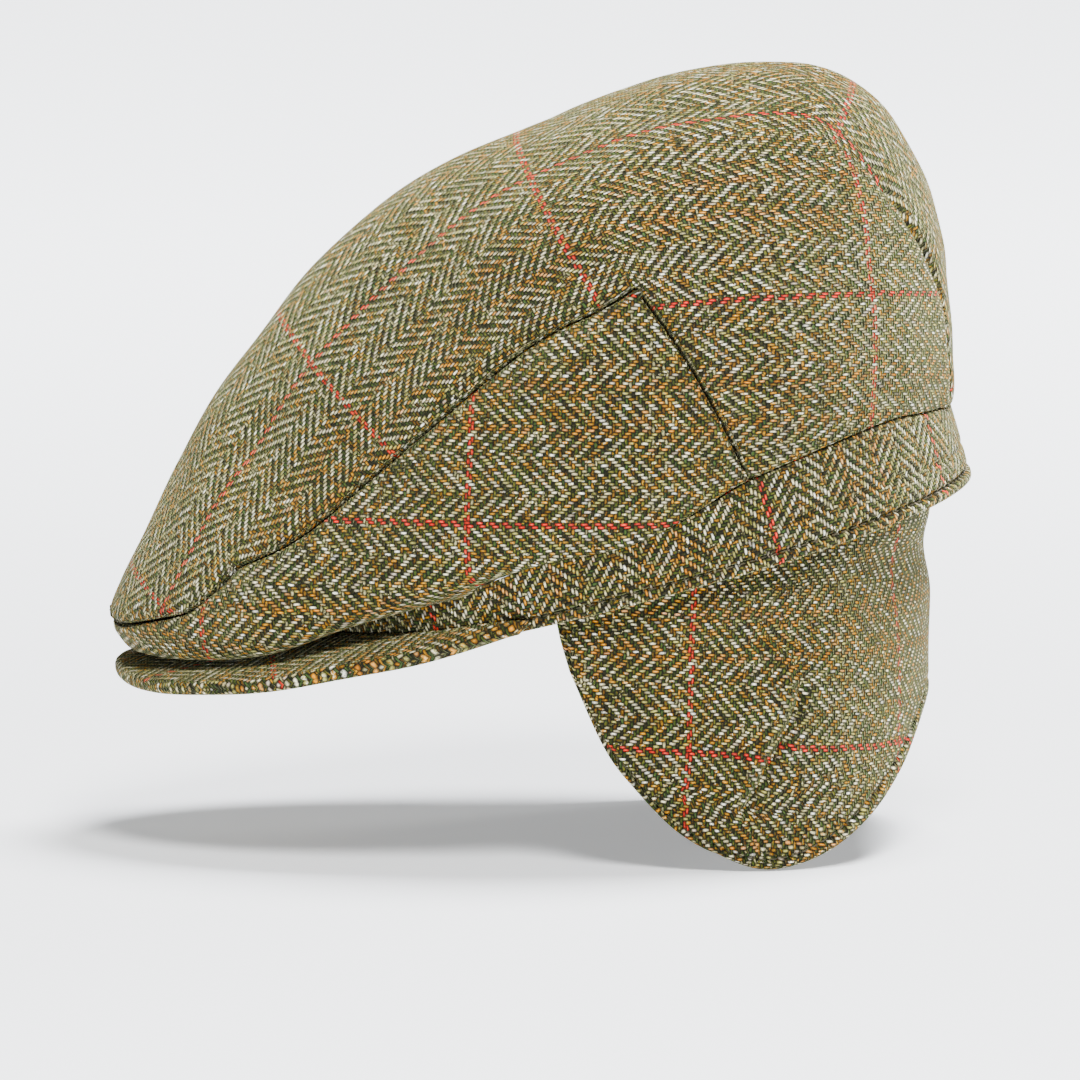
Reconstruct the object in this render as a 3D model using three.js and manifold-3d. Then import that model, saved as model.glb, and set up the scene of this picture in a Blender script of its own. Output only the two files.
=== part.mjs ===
// Flat cap in tweed with a stiff peak, and with its ear and neck flap folded down.
// Millimetres and degrees. +X is the wearer's left, -Y the front and +Z up.
// Each piece is drawn with the rim of the band level, and the whole cap is then tilted back by rimTilt
// about the middle of the head opening, which is the origin.
import * as THREE from "three";
import { mergeVertices } from "three/addons/utils/BufferGeometryUtils.js";
import Module from "manifold-3d";

const wasm = await Module();
wasm.setup();

// Head opening, inside the flap
const headLength = 201;
const headWidth = 165;
const ovalPower = 2.2;
const rimTilt = 15;

// Cloth of each piece, and the room between neighbours
const crownCloth = 2;
const bandCloth = 2.2;
const flapCloth = 3;
const clearance = 0.3;
const bandRoom = 0.6;
const seamRoll = 0.8;
const turnIn = 0.5;

// Crown, with heights above the rim
const crownHeight = 146.4;
const crownTopSetback = 30;
const crownOverhang = 58;
const dartDepth = 1.6;
const dartFade = 0.5;

// Band
const bandHeight = 26;

// Peak
const peakLength = 64;
const peakWidth = 169;
const peakThickness = 5;
const peakNose = 2.2;
const peakTipRise = 9.4;
const peakRootRise = 6;
const peakArch = 12;
const peakBow = 1.3;
const peakPower = 2.3;
const peakSpread = 1.004;
const peakSweep = 0.975;

// Ear and neck flap
const flapDrop = 93;
const flapTuck = 12;
const flapSideLean = 6.5;
const flapNeckLean = 33;

// Degrees from the side of the head to the front or the back of it
const quarter = 90;

// Lower edge of the crown round the head: degrees from the left side towards the back, how much of the
// overhang it stands forward of the band, and its height as a share of the band's.
const edgeRows = [
  { angle: -quarter, forward: 1, rise: 0.56 },
  { angle: -78, forward: 0.967, rise: 0.53 },
  { angle: -66, forward: 0.852, rise: 0.46 },
  { angle: -57, forward: 0.753, rise: 0.4 },
  { angle: -48, forward: 0.622, rise: 0.415 },
  { angle: -38.5, forward: 0.364, rise: 0.53 },
  { angle: -28, forward: 0.15, rise: 0.63 },
  { angle: -15.4, forward: 0, rise: 0.745 },
  { angle: 1.6, forward: 0, rise: 0.73 },
  { angle: 20.4, forward: 0, rise: 1.06 },
  { angle: 32, forward: 0, rise: 1.14 },
  { angle: 45.5, forward: 0, rise: 1.19 },
  { angle: 56, forward: 0, rise: 1.175 },
  { angle: 66, forward: 0, rise: 1.09 },
  { angle: 76, forward: 0, rise: 1.02 },
  { angle: quarter, forward: 0, rise: 0.955 },
];
const overhangEnd = -27;

// Three profiles of the crown, from its highest point (at 0) down to its lower edge (at 1): how far out as
// a share of the way to the lower edge, and how high as a share of the crown's height over that edge.
const profileRows = [
  { at: 0, frontOut: 0, frontUp: 1, sideOut: 0, sideUp: 1, backOut: 0, backUp: 1 },
  { at: 0.12, frontOut: 0.155, frontUp: 0.975, sideOut: 0.25, sideUp: 0.988, backOut: 0.294, backUp: 0.996 },
  { at: 0.24, frontOut: 0.31, frontUp: 0.933, sideOut: 0.487, sideUp: 0.942, backOut: 0.587, backUp: 0.975 },
  { at: 0.33, frontOut: 0.422, frontUp: 0.879, sideOut: 0.654, sideUp: 0.884, backOut: 0.795, backUp: 0.933 },
  { at: 0.43, frontOut: 0.54, frontUp: 0.79, sideOut: 0.8, sideUp: 0.783, backOut: 0.992, backUp: 0.842 },
  { at: 0.53, frontOut: 0.648, frontUp: 0.68, sideOut: 0.898, sideUp: 0.657, backOut: 1.099, backUp: 0.705 },
  { at: 0.63, frontOut: 0.75, frontUp: 0.558, sideOut: 0.966, sideUp: 0.521, backOut: 1.149, backUp: 0.557 },
  { at: 0.73, frontOut: 0.841, frontUp: 0.421, sideOut: 1.012, sideUp: 0.382, backOut: 1.141, backUp: 0.403 },
  { at: 0.83, frontOut: 0.93, frontUp: 0.276, sideOut: 1.037, sideUp: 0.24, backOut: 1.104, backUp: 0.252 },
  { at: 0.92, frontOut: 1.006, frontUp: 0.144, sideOut: 1.032, sideUp: 0.113, backOut: 1.062, backUp: 0.115 },
  { at: 0.96, frontOut: 1.017, frontUp: 0.084, sideOut: 1.018, sideUp: 0.056, backOut: 1.036, backUp: 0.052 },
  { at: 1, frontOut: 1, frontUp: 0, sideOut: 1, sideUp: 0, backOut: 1, backUp: 0 },
];

// Threads that cross the cap from the middle of the top to the front seam, and on down the side panel.
// middle is the share of the profile, less than 0 in front; turn is the share of the half round the head
// from front to back; out is the share of the profile there; foot is the turn at the lower edge.
const frontRows = [
  { middle: -0.955, turn: 0, out: 0.955, foot: 0 },
  { middle: -0.94, turn: 0.06, out: 0.955, foot: 0.055 },
  { middle: -0.915, turn: 0.12, out: 0.943, foot: 0.11 },
  { middle: -0.86, turn: 0.165, out: 0.927, foot: 0.155 },
  { middle: -0.79, turn: 0.198, out: 0.89, foot: 0.19 },
  { middle: -0.71, turn: 0.212, out: 0.869, foot: 0.22 },
  { middle: -0.63, turn: 0.255, out: 0.85, foot: 0.265 },
  { middle: -0.54, turn: 0.303, out: 0.79, foot: 0.33 },
  { middle: -0.43, turn: 0.36, out: 0.722, foot: 0.405 },
  { middle: -0.29, turn: 0.455, out: 0.628, foot: 0.505 },
  { middle: -0.16, turn: 0.554, out: 0.58, foot: 0.613 },
];

// The same for the top panel behind the corner: seam is the share of the way down the rear seam, and from
// its foot the rows end on the band at their turn.
const backRows = [
  { middle: -0.16, seam: 0, turn: 0.613 },
  { middle: -0.09, seam: 1 / 3, turn: 0.613 },
  { middle: -0.03, seam: 2 / 3, turn: 0.613 },
  { middle: 0.04, seam: 1, turn: 0.613 },
  { middle: 0.12, seam: 1, turn: 0.68 },
  { middle: 0.2, seam: 1, turn: 0.75 },
  { middle: 0.28, seam: 1, turn: 0.812 },
  { middle: 0.41, seam: 1, turn: 0.86 },
  { middle: 0.55, seam: 1, turn: 0.9 },
  { middle: 0.68, seam: 1, turn: 0.935 },
  { middle: 0.8, seam: 1, turn: 0.96 },
  { middle: 0.9, seam: 1, turn: 0.98 },
  { middle: 0.97, seam: 1, turn: 0.993 },
];
const rowsOnRearSeam = 3;

// Dart in the back of the top panel, from the band up to where it fades on the top.
const dartRows = [
  { turn: 0.96, out: 1 },
  { turn: 0.953, out: 0.848 },
  { turn: 0.928, out: 0.76 },
  { turn: 0.897, out: 0.674 },
  { turn: 0.864, out: 0.572 },
  { turn: 0.828, out: 0.452 },
];

// Section of the band: how far up it, and how far it draws in, as a share of its height.
const bandRows = [
  { up: 0, inset: 0.1 },
  { up: 0.12, inset: 0.045 },
  { up: 0.5, inset: 0 },
  { up: 0.85, inset: 0 },
  { up: 1, inset: 0.01 },
];

// Flap from the temple to the middle of the back: the angle where each row leaves the band, the angle where
// it reaches the hem, and the share of the drop that it hangs there.
const flapRows = [
  { top: -15.5, hem: -15, drop: 0.16 },
  { top: -11, hem: -12.5, drop: 0.45 },
  { top: -7, hem: -9.2, drop: 0.61 },
  { top: -2, hem: -4, drop: 0.796 },
  { top: 6, hem: 3, drop: 0.93 },
  { top: 16, hem: 13, drop: 0.995 },
  { top: 28, hem: 29, drop: 0.99 },
  { top: 40, hem: 45.5, drop: 0.917 },
  { top: 52, hem: 59.3, drop: 0.829 },
  { top: 64, hem: 71.7, drop: 0.735 },
  { top: 77, hem: 80, drop: 0.68 },
  { top: quarter, hem: quarter, drop: 0.657 },
];

// How the flap leans in below the rim: share of the drop, and share of the lean.
const leanRows = [
  { down: -0.15, lean: 0 },
  { down: 0, lean: 0.17 },
  { down: 0.07, lean: 0.3 },
  { down: 0.16, lean: 0.42 },
  { down: 0.34, lean: 0.49 },
  { down: 0.6, lean: 0.7 },
  { down: 1, lean: 1 },
];

// How many parts each piece is drawn in, and the first row of the top panel behind the tip
const firstRow = 0.5;
const normalStep = 0.01;
const crownColumns = 9;
const rowsBetween = 2;
const sideColumns = rowsOnRearSeam * rowsBetween;
const underColumns = 3;
const bandSides = 72;
const peakSides = 30;
const peakColumns = 6;
const flapColumns = 9;

const halfWidth = headWidth / 2 + flapCloth + clearance + bandCloth;
const halfLength = headLength / 2 + flapCloth + clearance + bandCloth;

// Value of one column at x, on a smooth curve through the rows. flat makes it level at both ends.
function column(rows, key, name, x, flat = false) {
  const last = rows.length - 1;
  let i = 0;
  while (i < last - 1 && x > rows[i + 1][key]) i += 1;
  const slope = (k) => (rows[k + 1][name] - rows[k][name]) / (rows[k + 1][key] - rows[k][key]);
  const tangent = (k) => {
    if (k === 0) return flat ? 0 : slope(0);
    if (k === last) return flat ? 0 : slope(last - 1);
    return (slope(k - 1) + slope(k)) / 2;
  };
  const width = rows[i + 1][key] - rows[i][key];
  const t = (x - rows[i][key]) / width;
  const s = 1 - t;
  return (
    s * s * (1 + 2 * t) * rows[i][name] +
    t * t * (3 - 2 * t) * rows[i + 1][name] +
    width * t * s * (s * tangent(i) - t * tangent(i + 1))
  );
}

// Value of one column at a place between two rows, as a straight share.
function between(rows, name, place) {
  const i = Math.min(Math.floor(place), rows.length - 2);
  return THREE.MathUtils.lerp(rows[i][name], rows[i + 1][name], place - i);
}

// The same on a smooth curve through the rows.
function curved(rows, name, place) {
  const numbered = rows.map((row, n) => ({ n, value: row[name] }));
  return column(numbered, "n", "value", place);
}

// Point of an oval with half its width and half its length, at an angle from the left towards the back.
function oval(angle, acrossHalf, alongHalf) {
  const c = Math.cos(THREE.MathUtils.degToRad(angle));
  const s = Math.sin(THREE.MathUtils.degToRad(angle));
  const bend = (share) => Math.sign(share) * Math.abs(share) ** (2 / ovalPower);
  return new THREE.Vector2(acrossHalf * bend(c), alongHalf * bend(s));
}

// The band's outline, drawn in by an inset.
function bandOutline(angle, inset) {
  return oval(angle, halfWidth - inset, halfLength - inset);
}

// Angles of the right half are those of the left half mirrored.
function leftAngle(angle) {
  const turned = THREE.MathUtils.euclideanModulo(angle + quarter, 4 * quarter) - quarter;
  return turned > quarter ? 2 * quarter - turned : turned;
}

// Height of the band's top edge. Under the overhang it runs on level.
function bandTop(angle) {
  const share = column(edgeRows, "angle", "rise", Math.max(leftAngle(angle), overhangEnd), true);
  return bandHeight * share;
}

// Angle of a turn, which runs from 0 in front to 1 at the back.
function turnAngle(turn) {
  return (2 * turn - 1) * quarter;
}

// Point of the crown's lower edge.
function crownEdge(turn) {
  const angle = turnAngle(turn);
  const p = bandOutline(angle, 0);
  const forward = crownOverhang * column(edgeRows, "angle", "forward", angle, true);
  const rise = bandHeight * column(edgeRows, "angle", "rise", angle, true);
  return new THREE.Vector3(p.x, p.y - forward, rise + bandRoom);
}

// Point of the crown's outer face. The profile there is a mix of the front, side and back ones.
function crownPoint(turn, out) {
  const edge = crownEdge(turn);
  const away = new THREE.Vector2(edge.x, edge.y - crownTopSetback);
  const facing = away.y / away.length();
  const front = Math.max(-facing, 0) ** 2;
  const back = Math.max(facing, 0) ** 2;
  const side = 1 - front - back;
  const mix = (end) =>
    front * column(profileRows, "at", "front" + end, out) +
    side * column(profileRows, "at", "side" + end, out) +
    back * column(profileRows, "at", "back" + end, out);
  const height = edge.z + mix("Up") * (crownHeight - edge.z);
  return new THREE.Vector3(away.x * mix("Out"), crownTopSetback + away.y * mix("Out"), height);
}

// The crown laid flat as a half disc: its highest point in the middle, the front at -y.
function onDisc(turn, out) {
  return new THREE.Vector2(out * Math.sin(Math.PI * turn), -out * Math.cos(Math.PI * turn));
}

function fromDisc(q) {
  return crownPoint(Math.atan2(Math.abs(q.x), -q.y) / Math.PI, q.length());
}

// Unit direction out of the crown's outer face.
function crownNormal(q) {
  const step = normalStep;
  const at = (x, y) => fromDisc(new THREE.Vector2(x, y));
  const slopeX = at(q.x + 2 * step, q.y).sub(at(q.x, q.y));
  const slopeY = at(q.x, q.y + step).sub(at(q.x, q.y - step));
  const normal = slopeX.cross(slopeY).normalize();
  if (q.x < 2 * step) normal.setX(0).normalize();
  return normal;
}

// Where a straight row on the disc crosses the dart: the share of the row, and how deep the dart is there.
function dartCrossing(from, to) {
  for (let i = 0; i + 1 < dartRows.length; i += 1) {
    const a = onDisc(dartRows[i].turn, dartRows[i].out);
    const b = onDisc(dartRows[i + 1].turn, dartRows[i + 1].out);
    const row = to.clone().sub(from);
    const dart = b.clone().sub(a);
    const gap = a.clone().sub(from);
    const along = gap.cross(dart) / row.cross(dart);
    const up = gap.cross(row) / row.cross(dart);
    if (up >= 0 && up <= 1 && along > 0 && along < 1) {
      const fade = 1 - (i + up) / (dartRows.length - 1);
      return { share: along, depth: dartDepth * Math.min(1, fade / dartFade) };
    }
  }
  return null;
}

// One closed body from a list of rings. The points of a ring run out along one face and back along the
// other, so that its first point lies over its last. A joined list runs round to its first ring, and any
// other has a cap at both ends.
function skin(rings, joined = false) {
  const size = rings[0].length;
  const points = rings.flat();
  const faces = [];
  const quad = (a, b, c, d) => faces.push(a, b, c, a, c, d);
  const count = joined ? rings.length : rings.length - 1;
  for (let i = 0; i < count; i += 1) {
    const here = i * size;
    const next = ((i + 1) % rings.length) * size;
    for (let j = 0; j < size; j += 1) {
      const k = (j + 1) % size;
      quad(here + j, here + k, next + k, next + j);
    }
  }
  const cap = (start, flip) => {
    for (let j = 0; 2 * j < size - 2; j += 1) {
      const [a, b, c, d] = [start + j, start + j + 1, start + size - 2 - j, start + size - 1 - j];
      if (flip) quad(a, d, c, b);
      else quad(a, b, c, d);
    }
  };
  if (!joined) {
    cap(0, true);
    cap((rings.length - 1) * size, false);
  }
  return closed(points, faces);
}

// Geometry of a list of points and faces, turned so that its faces point out.
function closed(points, faces) {
  const whole = faces.filter((_, n) => {
    const [a, b, c] = faces.slice(n - (n % 3), n - (n % 3) + 3);
    return a !== b && b !== c && c !== a;
  });
  let volume = 0;
  for (let n = 0; n < whole.length; n += 3) {
    const [a, b, c] = [points[whole[n]], points[whole[n + 1]], points[whole[n + 2]]];
    volume += a.dot(b.clone().cross(c));
  }
  if (volume < 0) whole.reverse();
  const geometry = new THREE.BufferGeometry().setFromPoints(points);
  geometry.setIndex(whole);
  return geometry;
}

// The same shape on the other side of the cap.
function mirrored(rings) {
  return rings.map((ring) => ring.map((p) => new THREE.Vector3(-p.x, p.y, p.z)));
}

function toSolid(geometry) {
  const merged = mergeVertices(geometry);
  return new wasm.Manifold(
    new wasm.Mesh({
      numProp: 3,
      vertProperties: merged.getAttribute("position").array,
      triVerts: new Uint32Array(merged.index.array),
    }),
  );
}

function fromSolid(solid) {
  const mesh = solid.getMesh();
  const geometry = new THREE.BufferGeometry();
  geometry.setAttribute("position", new THREE.BufferAttribute(mesh.vertProperties, mesh.numProp));
  geometry.setIndex(new THREE.BufferAttribute(mesh.triVerts, 1));
  return geometry;
}

// The row's points on the disc, with each end moved inwards by a length.
function trimmed(row, startTrim, endTrim) {
  const moved = row.map((q) => q.clone());
  const pull = (end, inner, length) => {
    const span = fromDisc(row[end]).distanceTo(fromDisc(row[inner]));
    moved[end].lerp(row[inner], length / span);
  };
  if (startTrim > 0) pull(0, 1, startTrim);
  if (endTrim > 0) pull(row.length - 1, row.length - 2, endTrim);
  return moved;
}

// Outer and inner face of one row of crown cloth. The inner face is set back at a seam.
function clothRow(row, startTrim, endTrim, depths) {
  const outer = trimmed(row, startTrim, endTrim).map((q, j) =>
    fromDisc(q).addScaledVector(crownNormal(q), -depths[j]),
  );
  const rolled = trimmed(row, startTrim && startTrim + seamRoll, endTrim && endTrim + seamRoll);
  const inner = rolled.map((q, j) => fromDisc(q).addScaledVector(crownNormal(q), -crownCloth - depths[j]));
  return [outer, inner];
}

// Places between rows, with a few more between each two.
function places(first, last) {
  const count = Math.round((last - first) * rowsBetween);
  return Array.from({ length: count + 1 }, (_, n) => first + (n * (last - first)) / count);
}

// Ends of a row of the side panel on the disc: on the front seam and at its foot.
function sideRow(place) {
  const top = onDisc(curved(frontRows, "turn", place), curved(frontRows, "out", place));
  const foot = onDisc(curved(frontRows, "foot", place), 1);
  return [top, foot];
}

// Where a row of the top panel ends behind the corner: on the rear seam, or on the band.
function backEnd(place) {
  const seam = between(backRows, "seam", place);
  const [corner, foot] = sideRow(frontRows.length - 1);
  return seam < 1 ? corner.lerp(foot, seam) : onDisc(between(backRows, "turn", place), 1);
}

// Top panel: rows run from the middle of the top to the seam, or to the band behind the corner.
function crownTop() {
  const front = places(firstRow, frontRows.length - 1).map((place) => [frontRows, place, sideRow(place)[0]]);
  const behind = places(0, backRows.length - 1).slice(1);
  const back = behind.map((place) => [backRows, place, backEnd(place)]);
  const rings = front.concat(back).map(([rows, place, end]) => {
    const start = new THREE.Vector2(0, between(rows, "middle", place));
    const dart = rows === backRows ? dartCrossing(start, end) : null;
    const fold = Math.round(crownColumns / 2);
    const share = dart ? dart.share : fold / crownColumns;
    const row = Array.from({ length: crownColumns + 1 }, (_, j) => {
      const past = Math.max(j - fold, 0) / (crownColumns - fold);
      const t = (share * Math.min(j, fold)) / fold + (1 - share) * past;
      return start.clone().lerp(end, t);
    });
    const depths = row.map((_, j) => (dart && j === fold ? dart.depth : 0));
    const [outer, inner] = clothRow(row, 0, clearance / 2, depths);
    const over = mirrored([outer.slice(1)])[0].reverse().concat(outer);
    const under = mirrored([inner.slice(1)])[0].reverse().concat(inner);
    return over.concat(under.reverse());
  });
  return skin(rings);
}

// Wall of the left side panel, from the front seam down to its lower edge.
function sideWall() {
  const rings = places(0, frontRows.length - 1).map((place, n, all) => {
    const [top, foot] = sideRow(place);
    const row = Array.from({ length: sideColumns + 1 }, (_, j) => top.clone().lerp(foot, j / sideColumns));
    const none = row.map(() => 0);
    const [outer, inner] = clothRow(row, clearance / 2, 0, none);
    if (n === 0) outer.concat(inner).forEach((p) => p.setX(clearance / 2));
    if (n === all.length - 1) {
      outer.forEach((p) => p.setY(p.y - clearance));
      inner.forEach((p) => p.setY(p.y - clearance - seamRoll));
    }
    return outer.concat(inner.reverse());
  });
  return rings;
}

// Cloth turned under the overhang, from the side wall's lower edge back to the top of the band.
function underside() {
  const lastTurn = (overhangEnd / quarter + 1) / 2;
  const count = frontRows.length;
  return Array.from({ length: count }, (_, n) => {
    const turn = (lastTurn * n) / (count - 1);
    const edge = crownEdge(turn);
    const end = bandOutline(turnAngle(turn), -bandRoom);
    const inside = new THREE.Vector3(end.x, end.y, bandTop(overhangEnd) - crownCloth);
    const away = edge.clone().sub(inside).setZ(0).normalize();
    const start = edge.clone().addScaledVector(away, -turnIn);
    const shares = Array.from({ length: underColumns + 1 }, (_, j) => j / underColumns);
    const lower = shares.map((share) => start.clone().lerp(inside, share));
    const upper = lower.map((p) => p.clone().setZ(p.z + crownCloth));
    const ring = lower.concat(upper.reverse());
    if (n === 0) ring.forEach((p) => p.setX(clearance / 2));
    return ring;
  });
}

function sidePanel(mirror) {
  const turnOver = (rings) => (mirror ? mirrored(rings) : rings);
  const wall = toSolid(skin(turnOver(sideWall())));
  const under = toSolid(skin(turnOver(underside())));
  return fromSolid(wall.add(under));
}

function band() {
  const rings = Array.from({ length: bandSides }, (_, n) => {
    const angle = (4 * quarter * n) / bandSides;
    const face = (depth) =>
      bandRows.map((row) => {
        const p = bandOutline(angle, row.inset * bandHeight + depth);
        return new THREE.Vector3(p.x, p.y, row.up * bandTop(angle));
      });
    return face(0).concat(face(bandCloth).reverse());
  });
  return skin(rings, true);
}

// Where the corners of the peak meet the band, as an angle from the front. They spread a little wider than
// its outer edge does, and no further back than most of the way to the band's widest place.
function peakCorner() {
  const spread = Math.min((peakSpread * peakWidth) / 2 / halfWidth, peakSweep);
  return THREE.MathUtils.radToDeg(Math.asin(spread ** (ovalPower / 2)));
}

// Outer edge of the peak, where across runs from -1 on the right to 1 on the left.
function peakEdge(across, inset) {
  const angle = THREE.MathUtils.degToRad(quarter * across);
  const back = bandOutline(peakCorner() - quarter, 0).y;
  const reach = halfLength + peakLength + back;
  const bend = (share) => Math.sign(share) * Math.abs(share) ** (2 / peakPower);
  const x = (peakWidth / 2 - inset) * bend(Math.sin(angle));
  const y = back - (reach - inset) * bend(Math.cos(angle));
  return new THREE.Vector2(x, y);
}

function peak() {
  const underside = (x, share) => {
    const across = Math.abs(x) / (peakWidth / 2);
    const tip = peakTipRise - peakArch * across ** peakBow;
    const root = peakRootRise * (1 - across * across);
    return THREE.MathUtils.lerp(root, tip, share);
  };
  const rings = Array.from({ length: peakSides + 1 }, (_, n) => {
    const across = peakSweep * ((2 * n) / peakSides - 1);
    const root = bandOutline(peakCorner() * across - quarter, -bandRoom);
    const rim = peakEdge(across, peakNose);
    const nose = peakEdge(across, 0);
    const shares = Array.from({ length: peakColumns + 1 }, (_, j) => j / peakColumns);
    const face = (lift) =>
      shares.map((share) => {
        const p = root.clone().lerp(rim, share);
        return new THREE.Vector3(p.x, p.y, underside(p.x, share) + lift);
      });
    const middle = new THREE.Vector3(nose.x, nose.y, underside(nose.x, 1) + peakThickness / 2);
    return face(peakThickness).concat([middle], face(0).reverse());
  });
  return skin(rings);
}

// Point of the flap at an angle and a depth below its outer face. down is the share of the drop.
function flapPoint(angle, down, depth) {
  const lean = column(leanRows, "down", "lean", down);
  const up = Math.max(-down * flapDrop, 0) / bandTop(angle);
  const snug = bandCloth + clearance + bandHeight * column(bandRows, "up", "inset", up) + depth;
  const behind = Math.sin(THREE.MathUtils.degToRad(angle)) > 0;
  const acrossHalf = halfWidth - snug - flapSideLean * lean;
  const alongHalf = halfLength - snug - (behind ? flapNeckLean * lean : 0);
  const p = oval(angle, acrossHalf, alongHalf);
  return new THREE.Vector3(p.x, p.y, -down * flapDrop);
}

function flap() {
  const left = places(0, flapRows.length - 1).map((place) => {
    const top = curved(flapRows, "top", place);
    const hem = curved(flapRows, "hem", place);
    const drop = curved(flapRows, "drop", place);
    const start = -flapTuck / flapDrop;
    const face = (depth) =>
      Array.from({ length: flapColumns + 1 }, (_, j) => {
        const share = j / flapColumns;
        const angle = THREE.MathUtils.lerp(top, hem, share);
        return flapPoint(angle, THREE.MathUtils.lerp(start, drop, share), depth);
      });
    const nose = flapPoint(hem, drop + flapCloth / 2 / flapDrop, flapCloth / 2);
    return face(0).concat([nose], face(flapCloth).reverse());
  });
  const right = mirrored(left.slice(0, -1)).reverse();
  return skin(left.concat(right));
}

// Colour, roughness and metalness of each cloth
const tweed = { color: 0x5b5442, roughness: 0.95, metalness: 0 };
const bandTweed = { color: 0x4f4a3b, roughness: 0.95, metalness: 0 };
const peakTweed = { color: 0x575140, roughness: 0.93, metalness: 0 };
const flapTweed = { color: 0x605945, roughness: 0.96, metalness: 0 };

const cap = new THREE.Group();
cap.rotation.x = THREE.MathUtils.degToRad(rimTilt);

function add(name, geometry, finish) {
  const mesh = new THREE.Mesh(geometry, new THREE.MeshStandardMaterial(finish));
  mesh.name = name;
  cap.add(mesh);
}

add("crown_top", crownTop(), tweed);
add("side_panel_left", sidePanel(false), tweed);
add("side_panel_right", sidePanel(true), tweed);
add("band", band(), bandTweed);
add("peak", peak(), peakTweed);
add("ear_neck_flap", flap(), flapTweed);

const group = new THREE.Group();
group.add(cap);

export default group;
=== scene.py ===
import math

import bpy
import numpy as np
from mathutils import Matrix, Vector


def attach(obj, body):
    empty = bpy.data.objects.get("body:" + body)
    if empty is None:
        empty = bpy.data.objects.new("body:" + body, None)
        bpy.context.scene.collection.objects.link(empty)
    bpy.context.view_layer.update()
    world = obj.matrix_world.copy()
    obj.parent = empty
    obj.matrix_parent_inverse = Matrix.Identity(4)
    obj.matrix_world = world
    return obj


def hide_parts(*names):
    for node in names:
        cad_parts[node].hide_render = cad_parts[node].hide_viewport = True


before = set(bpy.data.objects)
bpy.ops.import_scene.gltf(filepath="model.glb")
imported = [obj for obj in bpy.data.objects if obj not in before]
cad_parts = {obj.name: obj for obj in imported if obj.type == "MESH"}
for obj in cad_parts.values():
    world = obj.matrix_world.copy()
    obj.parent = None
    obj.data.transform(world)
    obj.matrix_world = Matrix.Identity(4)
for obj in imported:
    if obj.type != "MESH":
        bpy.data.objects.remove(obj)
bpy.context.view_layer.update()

# Sizes are in millimetres in the cap's own frame, with the rim level, x to the wearer's left, y to the back
# and z up. place() tilts them back and turns them into metres.
MM = 0.001
TILT = math.radians(15)
HEAD_LENGTH, HEAD_WIDTH, OVAL_POWER = 201.0, 165.0, 2.2
CROWN_CLOTH, BAND_CLOTH, FLAP_CLOTH = 2.0, 2.2, 3.0
CLEARANCE, BAND_ROOM = 0.3, 0.15
CROWN_HEIGHT, CROWN_SETBACK, OVERHANG, OVERHANG_END = 146.4, 30.0, 58.0, -27.0
BAND_HEIGHT = 26.0
PEAK_LENGTH, PEAK_WIDTH, PEAK_THICKNESS = 64.0, 169.0, 5.0
PEAK_TIP, PEAK_ROOT, PEAK_ARCH, PEAK_BOW, PEAK_POWER = 9.4, 6.0, 12.0, 1.3, 2.3
PEAK_SPREAD, PEAK_SWEEP = 1.004, 0.975
FLAP_DROP, FLAP_TUCK, SIDE_LEAN, NECK_LEAN = 93.0, 12.0, 6.5, 33.0
HALF_WIDTH = HEAD_WIDTH / 2 + FLAP_CLOTH + CLEARANCE + BAND_CLOTH
HALF_LENGTH = HEAD_LENGTH / 2 + FLAP_CLOTH + CLEARANCE + BAND_CLOTH

# The photograph: its width in pixels, pixels to the millimetre, pixel of the origin, rise of its camera
PHOTO_WIDTH, PHOTO_SCALE, PHOTO_ORIGIN, PHOTO_RISE = 1080, 3.2, (646.5, 562.8), math.radians(8)

# Lower edge of the crown: angle, forward, rise
EDGE = np.array([
    (-90, 1, 0.56), (-78, 0.967, 0.53), (-66, 0.852, 0.46), (-57, 0.753, 0.4),
    (-48, 0.622, 0.415), (-38.5, 0.364, 0.53), (-28, 0.15, 0.63), (-15.4, 0, 0.745),
    (1.6, 0, 0.73), (20.4, 0, 1.06), (32, 0, 1.14), (45.5, 0, 1.19),
    (56, 0, 1.175), (66, 0, 1.09), (76, 0, 1.02), (90, 0, 0.955),
])
# Profiles of the crown: at, then out and up in front, at the side and behind
PROFILE = np.array([
    (0, 0, 1, 0, 1, 0, 1),
    (0.12, 0.155, 0.975, 0.25, 0.988, 0.294, 0.996),
    (0.24, 0.31, 0.933, 0.487, 0.942, 0.587, 0.975),
    (0.33, 0.422, 0.879, 0.654, 0.884, 0.795, 0.933),
    (0.43, 0.54, 0.79, 0.8, 0.783, 0.992, 0.842),
    (0.53, 0.648, 0.68, 0.898, 0.657, 1.099, 0.705),
    (0.63, 0.75, 0.558, 0.966, 0.521, 1.149, 0.557),
    (0.73, 0.841, 0.421, 1.012, 0.382, 1.141, 0.403),
    (0.83, 0.93, 0.276, 1.037, 0.24, 1.104, 0.252),
    (0.92, 1.006, 0.144, 1.032, 0.113, 1.062, 0.115),
    (0.96, 1.017, 0.084, 1.018, 0.056, 1.036, 0.052),
    (1, 1, 0, 1, 0, 1, 0),
])
# Crosswise rows up to the side panel's rear corner: middle, turn and out at its top, turn at its foot
FRONT = np.array([
    (-0.955, 0, 0.955, 0), (-0.94, 0.06, 0.955, 0.055), (-0.915, 0.12, 0.943, 0.11),
    (-0.86, 0.165, 0.927, 0.155), (-0.79, 0.198, 0.89, 0.19), (-0.71, 0.212, 0.869, 0.22),
    (-0.63, 0.255, 0.85, 0.265), (-0.54, 0.303, 0.79, 0.33), (-0.43, 0.36, 0.722, 0.405),
    (-0.29, 0.455, 0.628, 0.505), (-0.16, 0.554, 0.58, 0.613),
])
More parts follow.
